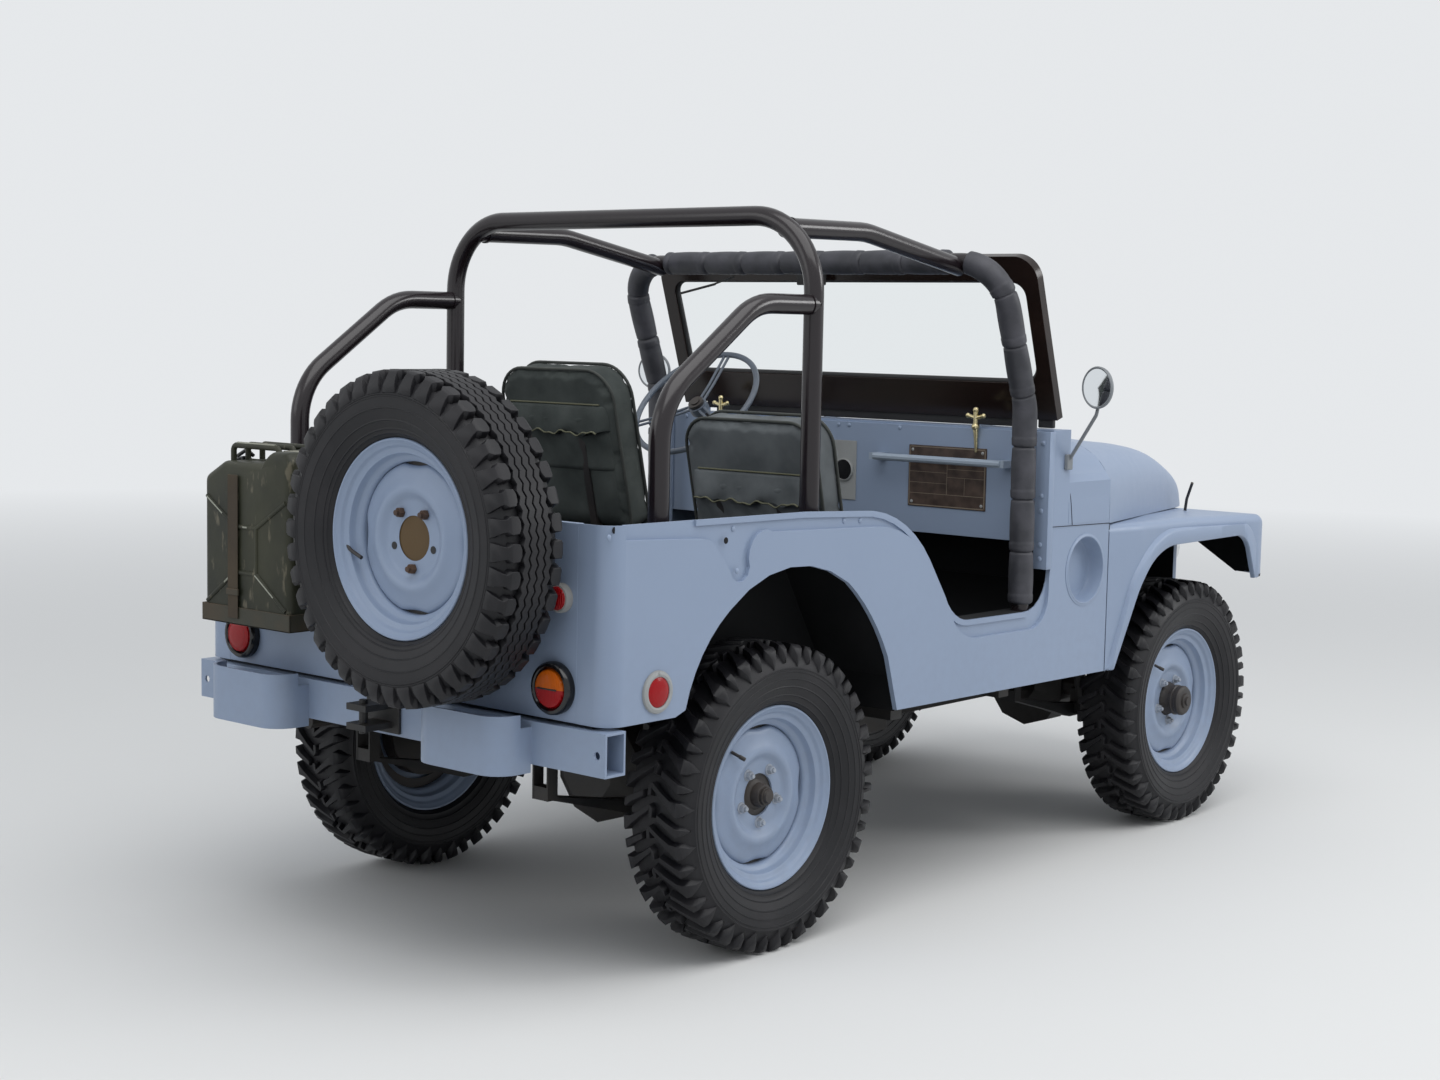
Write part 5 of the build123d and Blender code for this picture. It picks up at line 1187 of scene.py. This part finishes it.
# Dash plates: on the panel in body paint, a brown data plate left blank with its raised
# rules, and a silver instrument plate with two dark dials; beside them the column.
plate_brown = Paint("data_plate", (0.04, 0.024, 0.018), 0.5)
patina = plate_brown.noise(30.0, 4.0)
aged = patina.within(0.35, 0.7)
plate_brown.put("Base Color", plate_brown.mix(aged, (0.026, 0.014, 0.010), (0.075, 0.048, 0.036)))
plate_brown.put("Roughness", 0.3 + patina * 0.3)
steel_pale = dusty("steel_pale", (0.3, 0.31, 0.31), (0.12, 0.1, 0.08), 0.45, 0.3)
rule_pale = dusty("plate_rule", (0.20, 0.16, 0.12), (0.1, 0.07, 0.05), 0.5, 0.6)
plates_low, plates_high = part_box("dash_plates")
face_x = (plates_low.x - rear_hub[0]) * 1000
back_x = (plates_high.x - rear_hub[0]) * 1000
plates = [coated(softened(slab((face_x, back_x), (-524, -248), (1027, 1209)), 1.0), plate_brown.material),
          coated(softened(slab((face_x, back_x), (-52, 200), (1029, 1209)), 1.0), steel_pale)]
# the data plate's raised border and the lines between its empty fields, as y and z ranges
for y, z in (((-521, -251), (1203, 1206)), ((-521, -251), (1030, 1033)), ((-521, -518), (1030, 1206)),
             ((-254, -251), (1030, 1206)), ((-521, -251), (1172, 1173.5)), ((-521, -251), (1066, 1067.5)),
             ((-388, -386.5), (1067, 1172)), ((-518, -388), (1142, 1143.2)), ((-518, -388), (1118, 1119.2)),
             ((-386, -254), (1130, 1131.2)), ((-386, -254), (1098, 1099.2)), ((-450, -449), (1067, 1118))):
    plates.append(coated(slab((face_x - 0.5, face_x + 0.2), y, z), rule_pale))
plates.append(studded("plate_screws", [(face_x, y, z) for y in (-510, -262) for z in (1041, 1195)], 5.0,
                      (0.4, 1, 1), steel_pale))
for y, r in ((-8, 30), (110, 50)):
    dial = turned("dial", [(r + 5, 0), (r + 5, 5), (r + 1, 7), (r, 3), (0.01, 3)], 48)
    face = turned("face", [(r, 3.2), (0.01, 3.2)], 48)
    for mesh, finish in ((dial, steel_pale), (face, gloss_black)):
        mesh.transform(Matrix.Translation(spot(face_x, y, 1120)) @ Matrix.Rotation(math.pi / 2, 4, "Z"))
        plates.append(coated(mesh, finish))
keep_piece("dash_plates_shown", joined("dash_plates", plates), None, "chassis",
           ["dash_plates"])
eased("steering_column", dark_iron, 1.0)

# Steering wheel: a thin painted rim on three spokes of paired rod, with a dark hub. It
# stands square to the column, which leans back by 45 degrees.
steer_place = Vector((862.0, 350.0, 1314.0))
tilt = math.radians(45)
back_along = Vector((-math.cos(tilt), 0, math.sin(tilt)))
wheel_u = Vector((0, 1, 0))
wheel_v = back_along.cross(wheel_u)


def on_wheel(r, a, lift):
    return steer_place + wheel_u * (r * math.cos(a)) + wheel_v * (r * math.sin(a)) + back_along * lift


wheel_grey = dusty("wheel_grey", (0.105, 0.128, 0.165), (0.07, 0.075, 0.08), 0.32, 0.3)
rim_way = [on_wheel(206, 2 * math.pi * k / 72, 0) for k in range(72)]
wheel_parts = [coated(pipe("rim", rim_way, 9.0, 16, closed=True), wheel_grey)]
for k in range(3):
    a = math.radians(-90 + 120 * k)
    for side in (-1, 1):
        spoke = [on_wheel(r, a + side * spread, lift)
                 for r, spread, lift in ((24, 0.35, -14), (90, 0.09, -12), (204, 0.045, 0))]
        wheel_parts.append(coated(pipe("spoke", spoke, 4.2, 10), wheel_grey))
for r, low_end, high_end, finish in ((30.0, -34.0, -8.0, wheel_grey), (24.0, -8.0, 3.0, dark_iron),
                                     (14.0, 3.0, 7.0, dark_iron)):
    boss = [on_wheel(0, 0, low_end), on_wheel(0, 0, high_end)]
    wheel_parts.append(coated(pipe("boss", boss, r, 28), finish))
keep_piece("steering_wheel_shown", joined("steering_wheel", wheel_parts), None, "steering_wheel",
           ["steering_wheel"])

# Rear fittings: fuel can with a pressed cross in its tray, tail lamps in rubber rings,
# side reflectors in bright rings, spare wheel nuts and the brown plate behind the hub.
olive = Paint("olive_scuffed", (0.05, 0.055, 0.038), 0.42, Specular_IOR_Level=0.3)
stains = olive.noise(5.0, 6.0)
scuffs = olive.noise(38.0, 6.0, (1, 1, 0.35))
base_olive = olive.mix(stains.within(0.35, 0.66), (0.008, 0.010, 0.005), (0.036, 0.037, 0.022))
scratch = scuffs.within(0.6, 0.68) * 0.55
olive.put("Base Color", olive.mix(scratch, base_olive, (0.17, 0.15, 0.105)))
olive.put("Roughness", 0.3 + stains * 0.35)
olive.bump(olive.noise(22.0, 4.0) + scuffs * 0.5, 0.002, 0.4)
rust_band = dusty("rusty_olive", (0.024, 0.024, 0.014), (0.085, 0.05, 0.026), 0.5, 0.45)
# pale paint for painted highlight, laid on the cross's ribs, the grip's top and the can's shoulder
highlight_pale = dusty("highlight_pale", (0.27, 0.28, 0.23), (0.12, 0.11, 0.08), 0.4, 0.4)
can_x0, can_x1 = -827.0, -662.0
can_y, can_w, can_z0, can_z1 = 337.0, 345.0, 794.0, 1222.0
can_mid = (can_x0 + can_x1) / 2
back_x0 = -650.0


def stacked(name, rings):
    """A closed skin through rings of equally many points."""
    n = len(rings[0])
    faces = [tuple(range(n)), tuple(range(n * (len(rings) - 1), n * len(rings)))]
    for k in range(0, n * (len(rings) - 1), n):
        faces += [(k + i, k + (i + 1) % n, k + n + (i + 1) % n, k + n + i) for i in range(n)]
    return plain_mesh(name, [p for ring in rings for p in ring], faces)


y0, y1 = can_y - can_w / 2, can_y + can_w / 2
can_outline = bent_way([(0, can_y, can_z0), (0, y1, can_z0), (0, y1, 1150), (0, y1 - 75, 1190),
                        (0, y0 + 105, 1190), (0, y0 + 80, can_z1), (0, y0 + 20, can_z1), (0, y0, 1200),
                        (0, y0, can_z0), (0, can_y, can_z0)], 19, 0.3)[:-1]
can_mid_z = (can_z0 + can_z1) / 2


def can_ring(x, inset):
    """The can's outline at a station, drawn in by an inset."""
    wide = 1 - 2 * inset / can_w
    tall = 1 - 2 * inset / (can_z1 - can_z0)
    return [spot(x, can_y + (p.y - can_y) * wide, can_mid_z + (p.z - can_mid_z) * tall)
            for p in can_outline]


# distance from the can's face and how far its outline is drawn in there
half_can = ((0, 19), (2, 12), (6, 6), (12, 2), (20, 0), (78.5, 0), (79.5, -3.5))
can_rings = [can_ring(can_x0 + d, inset) for d, inset in half_can]
can_rings += [can_ring(can_x1 - d, inset) for d, inset in reversed(half_can)]
can = [coated(stacked("can", can_rings), olive.material)]
x = can_x0 + 1.5
for (ya, za), (yb, zb) in (((y0 + 16, 1100), (y0 + 130, 1030)), ((y1 - 16, 1100), (y1 - 130, 1030)),
                           ((y0 + 16, 834), (y0 + 130, 916)), ((y1 - 16, 834), (y1 - 130, 916)),
                           ((y0 + 130, 1030), (y1 - 130, 1030)), ((y0 + 130, 916), (y1 - 130, 916)),
                           ((y0 + 130, 1030), (y0 + 130, 916)), ((y1 - 130, 1030), (y1 - 130, 916))):
    can.append(coated(pipe("rib", [Vector((x, ya, za)), Vector((x, yb, zb))], 6.0, 10), olive.material))
# pale strips along the cross's ribs: painted highlight where the ribs catch the light
for (ya, za), (yb, zb) in (((y1 - 19, 1098), (y1 - 82, 1059)), ((y0 + 132, 914), (y0 + 60, 865)),
                           ((y1 - 90, 887), (y1 - 126, 913)), ((y1 - 165, 1030), (y1 - 182, 1030))):
    wear_and_highlight = [Vector((x - 4.2, ya, za)), Vector((x - 4.2, yb, zb))]
    can.append(coated(pipe("wear_and_highlight", wear_and_highlight, 2.6, 8), highlight_pale))
neck = turned("cap", [(0.01, 0), (27, 0), (27, 5), (31, 6), (32, 16), (28, 21), (0.01, 22)], 32)
neck.transform(Matrix.Rotation(math.radians(62), 4, "X"))
neck.transform(Matrix.Translation(spot(can_mid + 8, y1 - 37, 1166)))
can.append(coated(neck, gloss_black))
latch = bent_way([(can_mid + 8, y1 - back, z) for back, z in ((20, 1196), (58, 1214), (84, 1200))], 10, 0.3)
can.append(coated(pipe("latch", latch, 5.0, 10), gloss_black))
for dx in (-44, 0, 44):
    grip = bent_way([(can_mid + dx, y, z) for y, z in ((y1 - 74, 1184), (y1 - 74, 1228), (y0 + 88, 1228),
                                                       (y0 + 88, 1196))], 14, 0.3)
    can.append(coated(pipe("grip", grip, 7.5, 12), olive.material))
# the pale strip on the grip's top and the pale patch on the shoulder: painted highlight
grip_highlight = [Vector((can_mid - 44, y1 - 90, 1232.2)), Vector((can_mid - 44, y0 + 104, 1232.2))]
can.append(coated(pipe("wear_and_highlight", grip_highlight, 5.0, 10), highlight_pale))
shoulder_highlight = slab((can_mid - 40, can_mid + 26), (y0 + 22, y0 + 78), (can_z1 - 1, can_z1 + 1))
can.append(coated(softened(shoulder_highlight, 0.5), highlight_pale))
keep_piece("jerrycan_shown", joined("jerrycan", can), None, "chassis", ["jerrycan"])
strap_y = y1 - 128
strap_brown = dusty("strap_brown", (0.040, 0.029, 0.018), (0.085, 0.065, 0.04), 0.75, 0.5)
tray = []
# the tray's rim, floor, back plate and sides, then the strap over the can and its buckle
for x, y, z, edge, finish in (
        ((can_x0 - 3, can_x0 + 1), (y0 - 3, y1 + 3), (784, 828), 1.2, rust_band),
        ((can_x0 - 3, back_x0), (y0 - 3, y1 + 3), (784, 788), 1.2, rust_band),
        ((back_x0 - 11, back_x0), (can_y - 120, can_y + 120), (788, 1030), 1.2, grey),
        ((can_x0 - 3, back_x0), (y0 - 3, y0), (784, 828), 1.0, rust_band),
        ((can_x0 - 3, back_x0), (y1, y1 + 3), (784, 828), 1.0, rust_band),
        ((can_x0 - 7, can_x0 - 5), (strap_y - 20, strap_y + 20), (800, 1158), 0.8, strap_brown),
        ((can_x0 - 10, can_x0 - 4), (strap_y - 24, strap_y + 24), (858, 874), 1.5, rust_band)):
    tray.append(coated(softened(slab(x, y, z), edge), finish))
keep_piece("can_tray_shown", joined("can_tray", tray), None, "chassis", ["can_tray"])


def lens_of(name, colour):
    """Moulded plastic with the optics' ribs in its bump."""
    lens = Paint(name, colour, 0.16, Specular_IOR_Level=0.25)
    ribs = lens.node("ShaderNodeTexWave", {"bands_direction": "Y"}, {"Vector": lens.place, "Scale": 70.0})
    lens.bump(ribs, 0.0015, 0.6)
    return lens.material


red = lens_of("lens_red", (0.30, 0.002, 0.005))
amber = lens_of("lens_amber", (0.52, 0.10, 0.002))
bright = Paint("lamp_metal", (0.7, 0.71, 0.72), 0.18, 1.0).material


def faced(mesh, centre, axis):
    """A mesh turned about Y, set at a place in car millimetres with its Y axis along an axis."""
    aim = Vector((0, 1, 0)).rotation_difference(Vector(axis)).to_matrix().to_4x4()
    mesh.transform(Matrix.Translation(spot(*centre)) @ aim)
    return mesh


def ring(name, centre, axis, rows, steps=56):
    return faced(turned(name, rows, steps), centre, axis)


def dome(name, centre, axis, r, low_end, high_end, steps=48, half=None):
    """A shallow lens facing along an axis; half keeps the upper (1) or lower (-1) part."""
    deep = high_end - low_end
    rows = [(0.01, low_end), (r, low_end), (r, low_end + deep * 0.3), (r * 0.93, low_end + deep * 0.62),
            (r * 0.7, low_end + deep * 0.86), (r * 0.4, high_end - 0.6), (0.01, high_end)]
    mesh = turned(name, rows, steps)
    if half:
        form = bmesh.new()
        form.from_mesh(mesh)
        whole = form.verts[:] + form.edges[:] + form.faces[:]
        bmesh.ops.bisect_plane(form, geom=whole, clear_outer=True, plane_co=(0, 0, 0), plane_no=(0, 0, -half))
        form.to_mesh(mesh)
        form.free()
    return faced(mesh, centre, axis)


lamps = []
reflector_studs = []
for s in (1, -1):
    x, y, z = place = (-650, s * 573, 722)
    boot = [(44, 0), (61, 0), (62, 8), (60.5, 19), (57, 24), (51, 25), (47, 21), (45, 16), (44, 0)]
    lamps.append(coated(ring("boot", place, (-1, 0, 0), boot), gloss_black))
    case = [(0.01, 2), (46, 2), (46, 16), (0.01, 16)]
    lamps.append(coated(ring("case", place, (-1, 0, 0), case), bright))
    if s > 0:
        lamps.append(coated(dome("lens", place, (-1, 0, 0), 45.5, 14, 31), red))
    else:
        lamps.append(coated(dome("lens_low", place, (-1, 0, 0), 45.5, 14, 31, half=-1), red))
        lamps.append(coated(dome("lens_high", place, (-1, 0, 0), 45.5, 14, 31, half=1), amber))
        bridge = slab((x - 31.5, x - 16), (y - 30, y + 30), (z - 2, z + 2))
        lamps.append(coated(softened(bridge, 0.6), gloss_black))
    place = (-490, s * body_half, 714)
    shell = [(35, 0), (50, 0), (50, 3), (48, 6), (41, 8.5), (36, 7), (35, 0)]
    lamps.append(coated(ring("bezel", place, (0, s, 0), shell), steel_pale))
    lamps.append(coated(dome("reflector", place, (0, s, 0), 36.5, 1, 9), red))
    reflector_studs.append((-490, s * 745.5, 757))
lamps.append(studded("reflector_studs", reflector_studs, 4.5, (1, 0.7, 1), steel_pale))
small = (-650, -590, 930)
boot = [(26, 0), (34, 0), (34, 12), (31, 18), (27, 19), (26, 0)]
lamps.append(coated(ring("boot", small, (-1, 0, 0), boot, 40), steel_pale))
lamps.append(coated(dome("lens", small, (-1, 0, 0), 28, 12, 28, 40), red))
keep_piece("rear_lamps_shown", joined("rear_lamps", lamps), None, "chassis", ["rear_lamps"])
eased("headlamps", bright, 2.0)

spare_y, spare_z, disc_x = -288.0, 1052.0, -829.0


def on_spare(x, degrees):
    """A stud's place on the spare wheel's disc."""
    a = math.radians(degrees)
    return x, spare_y - stud_circle_r * math.cos(a), spare_z + stud_circle_r * math.sin(a)


nuts = []
for degrees in (54, 126, 270):
    nut = joined("nut", [hexagon(12, 13), turned("stud", [(6.5, 0), (6.5, 20), (0.01, 21)], 14)])
    nut.transform(Matrix.Translation(spot(*on_spare(disc_x, degrees))) @ Matrix.Rotation(math.pi / 2, 4, "Z"))
    nuts.append(nut)
rusty = dusty("rusty_nut", (0.06, 0.035, 0.025), (0.13, 0.07, 0.035), 0.6, 0.7)
keep_piece("spare_nuts", joined("spare_nuts", nuts), rusty, "chassis")
plate_rust = dusty("hub_plate_rust", (0.085, 0.048, 0.012), (0.045, 0.025, 0.01), 0.5, 0.6)
plate_rows = [(0.01, 0), (54, 0), (54, 3), (0.01, 3)]
hub_plate = ring("hub_plate", (-822, spare_y, spare_z), (-1, 0, 0), plate_rows, 40)
keep_piece("spare_hub_plate", hub_plate, plate_rust, "chassis")
stem = bent_way([(-846, -66, 1048), (-856, -92, 1014), (-858, -140, 997)], 40, 0.2)
keep_piece("spare_valve", pipe("valve", stem, 4.6, 12), dark_iron, "chassis")
# the two empty stud holes are flat black discs: painted shade standing for their depth
hole = [(0.01, 0), (9, 0), (9, 0.8), (0.01, 0.8)]
empty = [ring("hole", on_spare(disc_x + 0.6, degrees), (-1, 0, 0), hole, 20) for degrees in (198, 342)]
keep_piece("spare_stud_holes", joined("holes", empty), rubber_and_shade_black, "chassis")

# Mirrors: round glasses in grey metal heads on flat grey arms from the door posts, both
# in arm_grey with silvered glass.
arm_grey = dusty("arm_grey", (0.2, 0.215, 0.23), (0.12, 0.11, 0.1), 0.4, 0.2)
silvered = Paint("mirror_glass", (0.8, 0.83, 0.85), 0.03, 1.0).material
for side, s in (("left", 1), ("right", -1)):
    place = (1216, s * 845, 1396)
    facing = (-0.97, -0.25 * s, 0)
    shell = [(53, 6), (57, 8), (60, 4), (59, -2), (51, -9), (27, -14), (0.01, -15), (0.01, 4), (53, 4),
             (53, 6)]
    disc_rows = [(0.01, 4.5), (53, 4.5), (53, 5.5), (0.01, 5.8)]
    mirror = [coated(ring("rim", place, facing, shell), arm_grey),
              coated(ring("glass", place, facing, disc_rows), silvered)]
    arm = bent_way([(1224, s * 843, 1345), (1226, s * 836, 1318), (1240, s * 748, 1192)], 24)
    mirror.append(coated(pipe("arm", finely(arm, 20), 9.0, 12, flat=0.5), arm_grey))
    mirror.append(coated(softened(slab((1224, 1252), (s * body_half, s * 750), (1158, 1202)), 2.0), arm_grey))
    keep_piece(f"mirror_{side}_shown", joined("mirror", mirror), None, "chassis",
               [f"mirror_{side}"])

# Stage: a plain pale floor that fades into an even backdrop, soft daylight from the sky
# and three large panels, and the camera at the photograph's place.
floor_mesh = plain_mesh("floor", [(-60, -60, 0), (60, -60, 0), (60, 60, 0), (-60, 60, 0)], [(0, 1, 2, 3)])
floor = held("floor", floor_mesh)
floor_paint = Paint("floor_pale", (0.7, 0.7, 0.69), 0.8)


def seen(paint):
    """1 for what the camera, a reflection or a window looks at, 0 for light on its way."""
    looks = [paint.node("ShaderNodeLightPath", {}, {}, f"Is {kind} Ray")
             for kind in ("Camera", "Glossy", "Transmission")]
    return (looks[0] + looks[1] + looks[2]).within(0.0, 1.0)


distance = floor_paint.node("ShaderNodeVectorMath", {"operation": "LENGTH"}, [floor_paint.place], "Value")
backdrop = (0.79, 0.81, 0.83)
glow = floor_paint.node("ShaderNodeEmission", {}, {"Color": backdrop, "Strength": 1.0})
shown = floor_paint.node("ShaderNodeMixShader", {}, [seen(floor_paint) * distance.within(3.5, 14.0),
                                                    Shade(floor_paint, floor_paint.shader.outputs[0]), glow])
floor_paint.links.new(shown.socket, floor_paint.nodes["Material Output"].inputs["Surface"])
floor_mesh.materials.append(floor_paint.material)
floor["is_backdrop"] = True


def panel_light(name, place, aim, size, watts):
    data = bpy.data.lights.new(name, "AREA")
    data.shape = "RECTANGLE"
    data.size, data.size_y = size
    data.energy = watts
    lamp = held(name, data)
    lamp.location = place
    lamp.rotation_mode = "QUATERNION"
    lamp.rotation_quaternion = (Vector(aim) - Vector(place)).to_track_quat("-Z", "Y")


panel_light("sky_panel", (-1.5, -2.5, 6.5), (0, 0, 0.8), (8, 6), 320)
panel_light("rear_left_light", (-6.5, 2.5, 3.4), (0, 0, 0.8), (4, 3), 45)
panel_light("right_panel_light", (4.5, -5.0, 3.6), (1.0, -0.7, 1.0), (2.5, 2), 95)

world = bpy.data.worlds.new("daylight")
bpy.context.scene.world = world
world.use_nodes = True
sky = world.node_tree.nodes["Background"]
sky.inputs["Color"].default_value = (0.86, 0.9, 0.95, 1)
sky.inputs["Strength"].default_value = 0.62
plain = world.node_tree.nodes.new("ShaderNodeBackground")
plain.inputs["Color"].default_value = (*backdrop, 1)
rays = world.node_tree.nodes.new("ShaderNodeLightPath")
# what is looked at shows the backdrop, and the light on the car comes from the sky
either = world.node_tree.nodes.new("ShaderNodeMath")
either.operation = "ADD"
any_look = world.node_tree.nodes.new("ShaderNodeMath")
any_look.operation = "ADD"
any_look.use_clamp = True
choice = world.node_tree.nodes.new("ShaderNodeMixShader")
for start, end in ((rays.outputs["Is Camera Ray"], either.inputs[0]),
                   (rays.outputs["Is Glossy Ray"], either.inputs[1]),
                   (either.outputs[0], any_look.inputs[0]),
                   (rays.outputs["Is Transmission Ray"], any_look.inputs[1]),
                   (any_look.outputs[0], choice.inputs[0]),
                   (sky.outputs[0], choice.inputs[1]),
                   (plain.outputs[0], choice.inputs[2]),
                   (choice.outputs[0], world.node_tree.nodes["World Output"].inputs["Surface"])):
    world.node_tree.links.new(start, end)

camera_data = bpy.data.cameras.new("camera")
camera = held("camera", camera_data)
bpy.context.scene.camera = camera
photo_focal_px = 2172.1
photo_width_px = 1440.0
sensor_mm = 36.0
camera_data.sensor_width = sensor_mm
camera_data.lens = sensor_mm * photo_focal_px / photo_width_px
yaw, pitch, roll = (math.radians(a) for a in (40.63, 5.63, 1.124))
ahead = Vector((math.cos(yaw) * math.cos(pitch), math.sin(yaw) * math.cos(pitch), -math.sin(pitch)))
level = ahead.cross(Vector((0, 0, 1))).normalized()
above = level.cross(ahead)
right = level * math.cos(roll) + above * math.sin(roll)
up = above * math.cos(roll) - level * math.sin(roll)
turn = Matrix((right, up, -ahead)).transposed()
camera_place = spot(-4117.75, -4031.29, 1548.25)
camera.matrix_world = Matrix.Translation(camera_place) @ turn.to_4x4()

bpy.context.scene.view_settings.view_transform = "Standard"

low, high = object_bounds()
